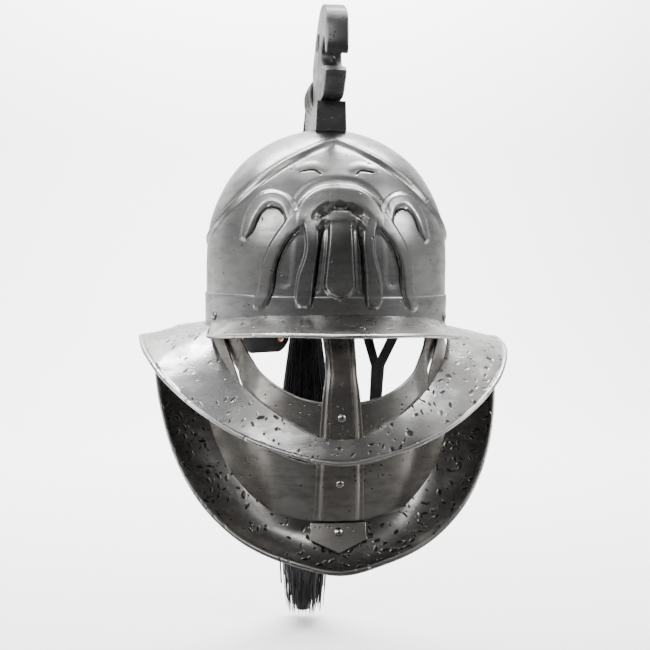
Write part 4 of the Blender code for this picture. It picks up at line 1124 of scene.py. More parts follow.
@dataclass
class Run:
    """A run of sheet metal round the helmet, given by a line of points at each angle.

    The line's points are (radius, height). The sheet lies on the right-hand side of the line.
    """

    angles: np.ndarray
    lines: np.ndarray
    thick: float = SHEET
    first_bead: float = 0.0
    last_bead: float = 0.0
    closed: bool = False
    uneven: float = 0.00018
    steps: int = 22
    bead_points: int = 15
    bead_lift: float = 0.3
    bead_cover: float = 0.96

    def resampled(self) -> np.ndarray:
        """Give each line in even steps.

        Returns:
            The lines, as (stations, steps, 2).
        """
        line = self.lines
        length = np.concatenate([np.zeros((len(line), 1)),
                                 np.cumsum(np.linalg.norm(np.diff(line, axis=1), axis=2), 1)], 1)
        made = np.empty((len(line), self.steps, 2))
        for k, (along, points) in enumerate(zip(length, line)):
            at = np.linspace(0, along[-1], self.steps)
            made[k, :, 0] = np.interp(at, along, points[:, 0])
            made[k, :, 1] = np.interp(at, along, points[:, 1])
        return made

    def rolled(self, tip: np.ndarray, before: np.ndarray, bead: float, side: int) -> np.ndarray:
        """Give the points round a rolled edge, from the upper side to the lower.

        Args:
            tip: the lines' ends at that edge.
            before: a point of each line a little before its end.
            bead: the roll's radius.
            side: 1 at the lines' last edge, -1 at their first.

        Returns:
            Points as (stations, points, 2).
        """
        run = unit(tip - before)
        normal = side * np.stack([-run[:, 1], run[:, 0]], 1)
        lift = self.bead_lift * bead
        begin = 180 - math.degrees(math.asin(lift / bead))
        finish = -180 - math.degrees(math.asin(max(-1, (lift - self.thick) / bead)))
        centre = tip - normal * lift
        turn = np.radians(np.linspace(begin, finish, self.bead_points))
        return np.stack([centre + bead * (math.cos(t) * run + math.sin(t) * normal) for t in turn], 1)

    def plain(self, line: np.ndarray) -> np.ndarray:
        """Give the points round the lines' last edge where it isn't rolled.

        Args:
            line: the lines, as (stations, points, 2).

        Returns:
            Points as (stations, points, 2).
        """
        run = unit(line[:, -1] - line[:, -3])
        normal = np.stack([-run[:, 1], run[:, 0]], 1)
        reach = self.thick / 2
        centre = line[:, -1] - normal * reach
        made = [centre + reach * (0.5 * math.cos(t) * run + math.sin(t) * normal)
                for t in np.radians([70, 30, -30, -70])]
        return np.stack(made, 1)

    def sections(self) -> tuple[np.ndarray, np.ndarray]:
        """Give the closed cross-sections.

        Returns:
            The sections, as (stations, points, 2), and how much painted highlight each of their points gets.
        """
        even = self.resampled()
        run = unit(np.gradient(even, axis=1))
        normal = np.stack([-run[..., 1], run[..., 0]], 2)
        place = polar(self.angles[:, None], even[..., 0], even[..., 1])
        top = even + normal * beaten(place, self.uneven)[..., None]
        away = np.linalg.norm(top - top[:, -1:], axis=2)
        back = np.linalg.norm(top - top[:, :1], axis=2)
        if self.last_bead:
            limit = self.bead_cover * self.last_bead
            top = np.where((away < limit)[..., None], top[:, -1:] - run * limit, top)
        if self.first_bead:
            limit = self.bead_cover * self.first_bead
            top = np.where((back < limit)[..., None], top[:, :1] + run * limit, top)
        low = top - normal * self.thick
        if self.last_bead:
            tail = self.rolled(even[:, -1], even[:, -3], self.last_bead, 1)
        else:
            tail = self.plain(even)
        if self.first_bead:
            head = self.rolled(even[:, 0], even[:, 2], self.first_bead, -1)[:, ::-1]
        else:
            head = np.stack([low[:, 0] * 0.75 + top[:, 0] * 0.25, low[:, 0] * 0.25 + top[:, 0] * 0.75], 1)
        loops = np.concatenate([top, tail, low[:, ::-1], head], 1)
        # Painted highlight: it peaks across each rolled bead, and plain edges get half.
        worn = [np.sin(np.linspace(0, math.pi, self.bead_points)) if bead else np.full(edge.shape[1], 0.5)
                for bead, edge in ((self.last_bead, tail), (self.first_bead, head))]
        unworn = np.zeros(self.steps)
        return loops, np.r_[unworn, worn[0], unworn, worn[1]]

    def build(self, name: str) -> bpy.types.Object:
        """Build the sheet as one object.

        Args:
            name: the object's name.

        Returns:
            The object.
        """
        loops, edge_highlight = self.sections()
        rings = polar(self.angles[:, None], loops[..., 0], loops[..., 1])
        return loft(name, rings, self.closed, np.tile(edge_highlight, (len(rings), 1)), sharp=45)


def curve_through(first: np.ndarray, middle: np.ndarray, last: np.ndarray, at: float = 0.5,
                  steps: int = 24) -> np.ndarray:
    """Run a smooth arc through three columns of points.

    Args:
        first: start points, as (stations, 2).
        middle: points passed on the way.
        last: end points.
        at: share of the way at which the middle points lie.
        steps: points along each arc.

    Returns:
        The arcs, as (stations, steps, 2).
    """
    t = np.linspace(0, 1, steps)[None, :, None]
    a, b, c = first[:, None], middle[:, None], last[:, None]
    return a * (t - at) * (t - 1) / at + b * t * (t - 1) / (at * (at - 1)) + c * t * (t - at) / (1 - at)


def both_sides(table: Rows, count: int) -> np.ndarray:
    """Give even angles from a table's last key on one side to that on the other."""
    return np.linspace(-table[-1][0], table[-1][0], count)


def edge_line(table: Rows, columns: tuple[int, int], angle: np.ndarray, start: np.ndarray,
              scale: tuple[float, float]) -> np.ndarray:
    """Read an edge from a table of shares.

    Args:
        table: rows keyed by the angle from the face.
        columns: the columns of its reach and of its height.
        angle: the angles to read it at.
        start: radii from which it reaches out.
        scale: what whole shares of reach and height stand for.

    Returns:
        Its radii and heights, as (stations, 2).
    """
    away = np.abs(angle)
    return np.stack([start + scale[0] * monotone(table, columns[0], away),
                     scale[1] * monotone(table, columns[1], away)], 1)


@dataclass
class Brim:
    """The visor's peak and the brim that is a neck guard behind and a band across the face."""

    finishes: Finishes
    peak_reach: float = 0.0656
    peak_rise: float = 0.015
    peak_sag: float = 0.02
    peak_bead: float = 0.0017
    width: float = 0.093
    drop: float = 0.100
    swell: float = 0.006
    face_reach: float = 0.0271
    bead: float = 0.0021
    uneven: float = 0.0003
    peak_edge: Rows = (
        (0, 1.00, 1.000, 0.23), (15, 0.98, 0.875, 0.21), (30, 0.90, 0.683, 0.03), (45, 0.78, 0.460, -0.22),
        (57, 0.50, 0.245, -0.34), (67.5, 0.24, 0.035, 0.00),
    )
    inner_edge: Rows = (
        (0, 1.02, 0.82), (6, 1.04, 0.81), (12, 0.99, 0.77), (18, 0.90, 0.69), (30, 0.75, 0.53),
        (45, 0.525, 0.31), (60, 0.215, 0.105), (72, 0.00, -0.004), (90, 0.00, -0.004), (180, 0.00, -0.004),
    )
    outer_edge: Rows = (
        (0, 0.383, 1.00, 0.0), (15, 0.376, 0.94, 0.0), (30, 0.432, 0.82, 0.0), (45, 0.514, 0.63, 0.0),
        (60, 0.577, 0.42, 0.0), (75, 0.605, 0.255, 0.0), (90, 0.645, 0.165, 0.0), (102, 0.735, 0.145, 0.1),
        (111, 0.835, 0.165, 0.2), (120, 0.892, 0.170, 0.2), (135, 0.905, 0.100, 0.2),
        (150, 0.925, 0.090, 0.4), (165, 0.978, 0.180, 0.8), (180, 1.000, 0.260, 1.0),
    )

    def peak(self) -> None:
        """Build the peak."""
        angle = both_sides(self.peak_edge, 181)
        edge = edge_line(self.peak_edge, (2, 3), angle, BOWL.rim(angle) + FIT,
                         (self.peak_reach, self.peak_rise))
        height = self.peak_rise * monotone(self.peak_edge, 1, np.abs(angle))
        seat = np.stack([BOWL.rim(angle, height) + FIT, height], 1)
        slope = np.arctan2(height - edge[:, 1], edge[:, 0] - seat[:, 0])
        seat[:, 0] += SHEET * np.sin(slope)
        middle = (seat + edge) / 2
        middle[:, 1] -= self.peak_sag * (edge[:, 0] - seat[:, 0])
        run = Run(angle, curve_through(seat, middle, edge), last_bead=self.peak_bead, steps=20)
        present(run.build("peak_sheet"), self.finishes.brim, Slot.STEEL, "peak")

    def brim(self) -> None:
        """Build the brim."""
        angle = np.arange(-BACK, BACK, 1.0)
        inner = edge_line(self.inner_edge, (1, 2), angle, BOWL.rim(angle) + 2 * FIT,
                          (self.face_reach, -self.drop))
        outer = edge_line(self.outer_edge, (1, 2), angle, BOWL.radius(angle, 0.0),
                          (self.width, -self.drop))
        middle = (inner + outer) / 2
        middle[:, 1] += self.swell * monotone(self.outer_edge, 3, np.abs(angle))
        lines = curve_through(inner, middle, outer)
        run = Run(angle, lines, last_bead=self.bead, closed=True, uneven=self.uneven, steps=30)
        present(run.build("brim_sheet"), self.finishes.brim, Slot.STEEL, "brim")

    def build(self) -> None:
        """Build and dress the peak and the brim."""
        self.peak()
        self.brim()


@dataclass
class FaceGuard:
    """The walls round the face opening and the chin, the flare, the nose bar and its tip."""

    finishes: Finishes
    wall_reach: float = 0.0231
    wall_depth: float = 0.088
    chin_reach: float = 0.0161
    chin_top: float = 0.106
    chin_depth: float = 0.153
    flange_reach: float = 0.045
    flange_depth: float = 0.187
    flange_dip: float = 0.005
    flange_bend: float = 0.58
    flange_rise: float = 0.006
    tuck: float = 0.0035
    tuck_low: float = 0.0012
    wall_bead: float = 0.0013
    chin_bead: float = 0.0011
    flange_bead: float = 0.0023
    uneven: float = 0.0003
    bar_half: float = 0.0205
    bar_thick: float = 0.002
    bar_steps: int = 120
    bar_round: float = 0.0004
    rib: float = 0.0013
    rib_humps: Rows = ((1, 0.74, 0.055), (-0.35, 0.62, 0.05))
    face_wall: Rows = (
        (0, 0.97, 1.00, 0.86, 0.64), (12, 0.97, 0.92, 0.86, 0.60), (18, 0.96, 0.83, 0.84, 0.545),
        (30, 0.85, 0.67, 0.56, 0.39), (36, 0.67, 0.58, 0.31, 0.28), (42, 0.34, 0.46, 0.10, 0.165),
        (48, -0.03, 0.38, -0.075, 0.035), (54, -0.125, 0.30, -0.125, -0.09),
        (60, -0.125, 0.20, -0.125, -0.17), (75, -0.125, 0.05, -0.125, -0.21),
    )
    chin_wall: Rows = (
        (0, 1.00, 1.00, 0.58, 1.00), (12, 1.00, 0.985, 0.60, 0.995), (24, 0.98, 0.905, 0.56, 0.97),
        (30, 0.88, 0.82, 0.47, 0.94), (36, 0.67, 0.66, 0.40, 0.90), (42, 0.38, 0.47, 0.36, 0.85),
        (48, 0.14, 0.32, 0.36, 0.79), (54, 0.01, 0.19, 0.38, 0.71), (60, -0.045, 0.04, 0.40, 0.62),
        (66, -0.045, -0.08, 0.44, 0.51), (75, -0.045, -0.13, 0.50, 0.375),
        (82.5, -0.045, -0.13, 0.57, 0.26),
    )
    flange_edge: Rows = (
        (0, 0.75, 1.00), (15, 0.71, 0.965), (30, 0.76, 0.90), (45, 0.905, 0.76), (60, 0.975, 0.555),
        (75, 0.995, 0.305), (84, 1.00, 0.17), (90, 1.00, 0.135),
    )
    nose_bar: Rows = (
        (-0.985, 0.9770, 1.00), (-0.820, 1.0060, 0.97), (-0.705, 1.0260, 0.94), (-0.655, 1.0420, 0.93),
        (-0.590, 1.0680, 0.90), (-0.535, 1.0735, 0.86), (-0.420, 1.0640, 0.80), (-0.300, 1.0520, 0.72),
        (-0.190, 1.0200, 0.62), (-0.105, 0.9640, 0.62), (-0.045, 0.8900, 0.64), (0.004, 0.8530, 0.66),
        (0.085, 0.8500, 0.66),
    )

    def wall(self) -> None:
        """Build the wall round the face opening, from its top edge down."""
        angle = both_sides(self.face_wall, 181)
        low, high = (edge_line(self.face_wall, columns, angle, BOWL.radius(angle, 0.0),
                               (self.wall_reach, -self.wall_depth)) for columns in ((1, 2), (3, 4)))
        lines = curve_through(high, (low + high) / 2, low)
        run = Run(angle, lines, thick=0.8 * SHEET, first_bead=self.wall_bead, steps=14)
        present(run.build("face_wall_sheet"), self.finishes.chin, Slot.STEEL, "face_wall")

    def chin_points(self, angle: np.ndarray) -> tuple[np.ndarray, np.ndarray, np.ndarray]:
        """Give the chin wall's lower edge, shoulder and upper edge.

        Args:
            angle: degrees from the face.

        Returns:
            The three edges, each as (stations, 2).
        """
        start = BOWL.radius(angle, 0.0)
        high = edge_line(self.chin_wall, (1, 2), angle, start, (self.chin_reach, -self.chin_top))
        low = edge_line(self.chin_wall, (3, 4), angle, start, (self.chin_reach, -self.chin_depth))
        shoulder = np.stack([high[:, 0], np.minimum(high[:, 1] - SHEET, -3.5 * SHEET)], 1)
        return low, shoulder, high

    def chin(self) -> None:
        """Build the chin wall, from its top edge down."""
        angle = both_sides(self.chin_wall, 221)
        low, shoulder, high = self.chin_points(angle)
        lines = np.stack([high, shoulder, (low + shoulder) / 2, low], 1)
        run = Run(angle, lines, first_bead=self.chin_bead, steps=20)
        present(run.build("chin_wall_sheet"), self.finishes.chin, Slot.DARK, "chin_wall")

    def seat(self, angle: np.ndarray, below: float) -> np.ndarray:
        """Give the flange's outer points behind the chin wall.

        Args:
            angle: degrees from the face.
            below: how far they lie below the wall's edge.

        Returns:
            Their radii and heights, as (stations, 2).
        """
        low, shoulder, _ = self.chin_points(angle)
        up = unit(shoulder - low)
        inward = unit(np.stack([-up[:, 1], up[:, 0]], 1))
        rise = self.flange_rise * np.maximum(0.0, (np.abs(angle) - self.chin_wall[-1][0]) / 10)
        seat = low + inward * (SHEET + 2 * FIT) - up * below
        seat[:, 1] += rise
        return seat

    def flange(self) -> None:
        """Build the flare below the chin wall."""
        angle = both_sides(self.flange_edge, 241)
        tuck, seat = self.seat(angle, -self.tuck), self.seat(angle, self.tuck_low)
        edge = edge_line(self.flange_edge, (1, 2), angle, BOWL.radius(angle, 0.0),
                         (self.flange_reach, -self.flange_depth))
        chord = edge - seat
        down = unit(np.stack([chord[:, 1], -chord[:, 0]], 1))
        front = np.maximum(0.0, np.cos(np.radians(angle)))
        middle = seat + chord * self.flange_bend + down * (self.flange_dip * (0.6 + 0.8 * front))[:, None]
        lines = np.concatenate([tuck[:, None], curve_through(seat, middle, edge, self.flange_bend)], 1)
        run = Run(angle, lines, last_bead=self.flange_bead, uneven=self.uneven, steps=30)
        present(run.build("chin_flange_sheet"), self.finishes.dark, Slot.DARK, "chin_flange")

    def bar(self) -> None:
        """Build the ribbed nose bar."""
        reach = BOWL.half_length + self.chin_reach
        share = np.linspace(self.nose_bar[-1][0], self.nose_bar[0][0], self.bar_steps)
        none = np.zeros(self.bar_steps)
        line = np.stack([none, -reach * monotone(self.nose_bar, 1, share), self.chin_depth * share], 1)
        run = unit(np.gradient(line, axis=0))
        out = np.stack([none, run[:, 2], -run[:, 1]], 1)
        half = self.bar_half * monotone(self.nose_bar, 2, share)
        x = np.linspace(-1, 1, 61)
        ribs = profile(self.rib_humps, np.abs(x))
        ease = np.clip((1 - np.abs(x)) / 0.03, 0, 1) ** 0.5
        face = self.rib * ribs - self.bar_round * (1 - ease)
        back = np.array([(1, -0.5), (0.98, -0.95), (0.5, -1), (0, -1), (-0.5, -1), (-0.98, -0.95),
                         (-1, -0.5)])
        across = np.r_[x, back[:, 0]]
        rise = np.r_[face, back[:, 1] * self.bar_thick]
        u = half[:, None] * across[None]
        v = rise[None] - u * u / (2 * reach)
        rings = line[:, None] + u[..., None] * ASIDE + v[..., None] * out[:, None]
        # Painted highlight on the tops of the ribs.
        edge_highlight = np.tile(np.r_[np.clip(ribs, 0, 1), np.zeros(len(back))], (self.bar_steps, 1))
        present(loft("nose_bar_strip", rings, False, edge_highlight), self.finishes.bar, Slot.STEEL, "nose_bar")

    def build(self) -> None:
        """Build and dress the guard."""
        self.wall()
        self.chin()
        self.flange()
        self.bar()
        present(carried("tip_plate", 0.0010, 3), self.finishes.bar, Slot.STEEL, "tip_plate")


@dataclass
class Rivets:
    """The domed rivet heads, each set where its solid is."""

    finishes: Finishes
    rise: float = 0.0024
    foot: float = 0.00025
    sunk: float = 0.0003
    large: float = 0.0045
    small: float = 0.0036
    sides: int = 28
    crown_angles: tuple[tuple[str, float], ...] = (("front", 66.0), ("rear", 107.0))
    guard: tuple[tuple[str, float], ...] = (
        ("bar_rivet_upper", 0.09), ("bar_rivet_lower", -0.14), ("tip_rivet", 0.62))
    liner_angle: float = -160.0

    def head(self, node: str, out: tuple[float, float, float], radius: float, finish: bpy.types.Material,
             slot: Slot) -> None:
        """Make and dress a rivet head.

        Args:
            node: the solid that it stands for.
            out: the direction that it faces.
            radius: its radius.
            finish: its material.
            slot: the record's slot for it.
        """
        low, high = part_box(node)
        axis = Vector(out).normalized()
        foot = (low + high) / 2 - axis * self.rise / 2
        t = np.linspace(0, math.pi / 2, 9)
        reach = np.r_[0.92, 1.0, np.cos(t[1:])] * radius
        up = np.r_[-self.sunk, self.foot, self.foot + np.sin(t[1:]) * (self.rise - self.foot)]
        turn = np.linspace(0, 2 * math.pi, self.sides, endpoint=False)
        round_way = np.stack([np.cos(turn), np.sin(turn), np.zeros(self.sides)], 1)
        rings = np.maximum(reach, 0.00004)[:, None, None] * round_way
        rings[..., 2] = up[:, None]
        obj = loft(f"{node}_head", rings, sharp=60)
        obj.data.transform(Matrix.Translation(foot) @ axis.to_track_quat("Z", "Y").to_matrix().to_4x4())
        present(obj, finish, slot, node)

    def build(self) -> None:
        """Build and dress the rivets."""
        for side, hand in ((-1, "r"), (1, "l")):
            for label, angle in self.crown_angles:
                turn = math.radians(side * angle)
                self.head(f"{label}_rivet_{hand}", (math.sin(turn), -math.cos(turn), 0), self.large,
                          self.finishes.steel, Slot.STEEL)
        for node, tilt in self.guard:
            self.head(node, (0, -1, tilt), self.small, self.finishes.nickel, Slot.NICKEL)
        turn = math.radians(self.liner_angle)
        self.head("liner_rivet", (-math.sin(turn), math.cos(turn), 0), self.small,
                  self.finishes.copper, Slot.COPPER)


@dataclass
class Crest:
    """The block, the bird's head with its tongue and eyes, the neck and the bracket behind it."""

    finishes: Finishes
    block_top: float = 0.2045
    reach: float = 0.081
    rise: float = 0.0865
    half_width: float = 0.0095
    edge: float = 0.0015
    neck_half: float = 0.0165
    neck_reach: float = 0.188
    neck_height: float = 0.246
    neck_wall: float = 0.0018
    neck_steps: int = 130
    opening: float = 58.0
    seam: float = 6.0
    open_from: float = 0.083
    collars: Rows = ((0.0012, 0.0625, 0.0017), (0.0012, 0.0675, 0.0017), (0.0012, 0.0725, 0.0017))
    eye_place: tuple[float, float] = (0.025, 0.688)
    eye_rim: float = 0.0012
    eye_half_length: float = 0.0125
    eye_half_height: float = 0.0068
    eye_tilt: float = 22.0
    eye_steps: int = 40
    groove: float = 0.0010
    grooves: int = 5
    groove_ends: Rows = ((0.0142, 0.004, 0.001), (0.0148, -0.005, 0.026))
    corners: tuple[int, ...] = (0, 4, 16, 17, 31, 32, 35)
    outline: Rows = ()
    neck: Rows = ()

    def outline_points(self) -> np.ndarray:
        """Smooth the curves of the head's outline and keep its corners.

        Returns:
            The outline, as (points, 2).
        """
        raw = np.array(self.outline) * np.array([self.reach, self.rise]) + np.array([0, self.block_top + FIT])
        parts = []
        for a, b in zip(self.corners, self.corners[1:] + (self.corners[0] + len(raw),)):
            piece = raw[[k % len(raw) for k in range(a, b + 1)]]
            parts.append(smooth_line(piece, max(3, 4 * (b - a) + 1))[:-1])
        return np.vstack(parts)

    def head(self) -> None:
        """Build the head with its raised eyes."""
        points = self.outline_points()
        curve = bpy.data.curves.new("head_plate", "CURVE")
        curve.dimensions = "2D"
        curve.fill_mode = "BOTH"
        curve.extrude = self.half_width - self.edge
        curve.bevel_depth = self.edge
        curve.bevel_resolution = 3
        curve.offset = -self.edge
        spline = curve.splines.new("POLY")
        spline.points.add(len(points) - 1)
        for target, (y, z) in zip(spline.points, points):
            target.co = (y, z, 0, 1)
        spline.use_cyclic_u = True
        source = bpy.data.objects.new("head_plate_curve", curve)
        bpy.context.scene.collection.objects.link(source)
        bpy.context.view_layer.update()
        mesh = bpy.data.meshes.new_from_object(source.evaluated_get(bpy.context.evaluated_depsgraph_get()))
        bpy.data.objects.remove(source)
        mesh.transform(Matrix(((0, 0, 1, 0), (1, 0, 0, 0), (0, 1, 0, 0), (0, 0, 0, 1))))
        shape = bmesh.new()
        shape.from_mesh(mesh)
        bmesh.ops.remove_doubles(shape, verts=shape.verts, dist=1e-5)
        bmesh.ops.recalc_face_normals(shape, faces=shape.faces)
        shape.to_mesh(mesh)
        shape.free()
        present(placed("head_plate", mesh, 40), self.finishes.cast, Slot.CAST, "crest_head")
        present(self.eyes(), self.finishes.cast, Slot.CAST)

    def eyes(self) -> bpy.types.Object:
        """Make both raised almond eyes.

        Returns:
            One object with both.
        """
        count = self.eye_steps
        centre = np.array([self.eye_place[0] * self.reach, self.block_top + self.eye_place[1] * self.rise])
        tilt = math.radians(self.eye_tilt)
        turn = np.linspace(0, 2 * math.pi, count, endpoint=False)
        u = self.eye_half_length * np.cos(turn)
        v = self.eye_half_height * np.sin(turn) * (1 - 0.35 * np.cos(turn) ** 2)
        parts = []
        for side in (-1, 1):
            y = centre[0] + u * math.cos(tilt) + v * math.sin(tilt)
            z = centre[1] - u * math.sin(tilt) + v * math.cos(tilt)
            rim = np.stack([np.full(count, side * self.half_width), y, z], 1)
            parts.append((closed_tube(rim, self.eye_rim, 8), True))
            shares = np.sin(np.linspace(0.12, math.pi / 2, 6))
            rings = []
            for share in shares[::-1]:
                away = math.sqrt(1 - share**2)
                x = side * (self.half_width + 0.0017 * away - 0.0004)
                rings.append(np.stack([np.full(count, x), centre[0] + (y - centre[0]) * share * 0.8,
                                       centre[1] + (z - centre[1]) * share * 0.8], 1))
            parts.append((np.array(rings), False))
        return merged("head_eyes", parts)

    def neck_rings(self) -> np.ndarray:
        """Give the neck's rings, each an open arc's outer side and its inner side.

        Returns:
            Points as (rings, points, 3).
        """
        rows = np.array(self.neck)
        count = self.neck_steps
        along = np.interp(np.linspace(0, len(rows) - 1, count), np.arange(len(rows)), rows[:, 0])
        smooth = smooth_line(rows, count)
        none = np.zeros(count)
        low = np.stack([none, smooth[:, 0] * self.neck_reach, smooth[:, 1] * self.neck_height], 1)
        high = np.stack([none, smooth[:, 2] * self.neck_reach, smooth[:, 3] * self.neck_height], 1)
        middle = (low + high) / 2
        collar = profile(self.collars, middle[:, 1])
        half = self.neck_half * smooth[:, 4] + collar
        deep = np.linalg.norm(high - low, axis=1) / 2 + collar
        up = unit(high - low)
        opened = np.clip((along * self.neck_reach - self.open_from) / 0.004, 0, 1)
        gap = self.seam + (self.opening - self.seam) * opened
        share = np.linspace(0, 1, 41)
        turn = np.radians(gap[:, None] + (360 - 2 * gap[:, None]) * share[None])
        outer, inner = (middle[:, None] + ((half - wall)[:, None] * np.sin(turn))[..., None] * ASIDE
                        + ((deep - wall)[:, None] * np.cos(turn))[..., None] * up[:, None]
                        for wall in (0.0, self.neck_wall))
        return np.concatenate([outer, inner[:, ::-1]], 1)

    def build(self) -> None:
        """Build and dress the crest."""
        self.head()
        present(self.block(), self.finishes.cast, Slot.CAST, "crest_block")
        present(carried("crest_tongue", 0.0), self.finishes.nickel, Slot.STEEL, "crest_tongue")
        rings = self.neck_rings()
        foot = min(v.co.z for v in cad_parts["crest_neck"].data.vertices)
        rings[..., 2] = np.maximum(rings[..., 2], foot)
        present(loft("neck_tube", rings), self.finishes.neck, Slot.CAST, "crest_neck")
        present(carried("neck_bracket", 0.0004), self.finishes.steel, Slot.STEEL, "neck_bracket")
        present(carried("bracket_strip", 0.0006), self.finishes.hide, Slot.LEATHER, "bracket_strip")

    def block(self) -> bpy.types.Object:
        """Make the block, with slanting grooves cut in its sides.

        Returns:
            The object.
        """
        block = carried("crest_block", 0.0)
        low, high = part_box("crest_block")
        parts = []
        for side in (-1, 1):
            for k in range(self.grooves):
                y = low.y + (high.y - low.y) * (k + 0.75) / (self.grooves + 0.6)
                ends = [[side * x, y + ahead, high.z - down] for x, ahead, down in self.groove_ends]
                parts.append((tube_rings(smooth_line(np.array(ends), 4), self.groove, 8), False))
        cut(block, merged("groove_cutter", parts))
        rounded(block, 0.0005, 2, 50)
        return block


def closed_tube(path: np.ndarray, radius: float, sides: int) -> np.ndarray:
    """Give the rings of a tube along a closed path that lies in one plane.

    Args:
        path: the tube's middle line.
        radius: its radius.
        sides: points round it.

    Returns:
        Points as (path, sides, 3).
    """
    run = unit(np.roll(path, -1, 0) - np.roll(path, 1, 0))
    normal = unit(np.cross(path[0] - path.mean(0), path[len(path) // 4] - path.mean(0)))
    side = np.cross(run, normal)
    turn = np.linspace(0, 2 * math.pi, sides, endpoint=False)
    return path[:, None] + radius * (np.cos(turn)[None, :, None] * side[:, None]
                                     + np.sin(turn)[None, :, None] * normal)


@dataclass
class Plume:
    """The horsehair plume: a core, the strands over it and the thread round it."""

    finishes: Finishes
    reach: float = 0.231
    drop: float = 0.360
    half_width: float = 0.034
    half_depth: float = 0.027
    tie_height: float = 0.039
    tie_width: float = 0.005
    strands: int = 330
    seed: int = 7
    steps: int = 76
    core: float = 0.86
    depths: tuple[float, float] = (0.82, 1.0)
    drift: float = 0.35
    waves: tuple[float, float] = (1.5, 4.0)
    taper: float = 0.9
    short: tuple[float, ...] = (0.0, 0.0, 0.013, 0.027, 0.04, 0.053)
    hair_radius: tuple[float, float] = (0.0006, 0.0011)
    thread: float = 0.00055
    thread_turns: int = 6
    stations: Rows = ()

    def spine(self, count: int) -> tuple[np.ndarray, np.ndarray, np.ndarray, np.ndarray]:
        """Give the plume's middle line and its sections.

        Args:
            count: how many stations to give.

        Returns:
            The middle line, the outward directions, the half-widths and the half-depths.
        """
        rows = np.array(self.stations)
        line = smooth_line(rows, count)
        middle = np.stack([np.zeros(count), line[:, 0] * self.reach, line[:, 1] * self.drop], 1)
        run = unit(np.gradient(middle, axis=0))
        out = np.stack([np.zeros(count), -run[:, 2], run[:, 1]], 1)
        return middle, out, line[:, 2] * self.half_width, line[:, 3] * self.half_depth

    def hair(self) -> None:
        """Build the core and the strands."""
        count = self.steps
        middle, out, wide, deep = self.spine(count)
        turn = np.linspace(0, 2 * math.pi, 36, endpoint=False)
        core = (middle[:, None] + self.core * (wide[:, None] * np.cos(turn))[..., None] * ASIDE
                + self.core * (deep[:, None] * np.sin(turn))[..., None] * out[:, None])
        t = np.linspace(0, 1, count)
        ease = np.clip((1 - t) / 0.07, 0.12, 1)[:, None, None] ** 0.5
        parts = [(middle[:, None] + (core - middle[:, None]) * ease, False)]
        draw = random.Random(self.seed)
        for _ in range(self.strands):
            angle = draw.uniform(0, 2 * math.pi)
            depth = draw.uniform(*self.depths)
            drift = draw.uniform(-self.drift, self.drift)
            phase = draw.uniform(0, 6.28)
            waves = draw.uniform(*self.waves)
            inner = draw.uniform(0, self.taper)
            short = draw.choice(self.short)
            thick = draw.uniform(*self.hair_radius)
            where = angle + drift * np.sin(waves * math.pi * t + phase)
            gather = 1 - inner * np.clip((t - 0.85) / 0.15, 0, 1)
            near = (depth - 0.03 - 0.02 * np.sin(3 * math.pi * t + phase)) * gather
            path = (middle + (near * wide * np.cos(where))[:, None] * ASIDE
                    + (near * deep * np.sin(where))[:, None] * out)
            keep = int(count * (1 - short))
            size = thick * np.clip((1.02 - t[:keep]) / 0.06, 0.3, 1)
            parts.append((tube_rings(path[:keep], size, 5), False))
        present(merged("plume_hair", parts, sharp=80), self.finishes.hair, Slot.HAIR, "plume")

    def tie(self) -> None:
        """Build the thread, wound a few turns round the plume."""
        middle, out, wide, deep = self.spine(400)
        k = int(np.argmin(np.abs(middle[:, 2] - self.tie_height) + (middle[:, 1] < 0.19)))
        run = unit(middle[k + 1] - middle[k - 1])
        t = np.linspace(0, self.thread_turns * 2 * math.pi, self.thread_turns * 40)
        along = (t / t[-1] - 0.5) * (self.tie_width - 2 * self.thread)
        path = (middle[k] + along[:, None] * run + ((wide[k] + MM) * np.cos(t))[:, None] * ASIDE
                + ((deep[k] + MM) * np.sin(t))[:, None] * out[k])
        thread = merged("plume_thread", [(tube_rings(path, self.thread, 7), False)], sharp=80)
        present(thread, self.finishes.thread, Slot.THREAD, "plume_tie")

    def build(self) -> None:
        """Build and dress the plume."""
        self.hair()
        self.tie()


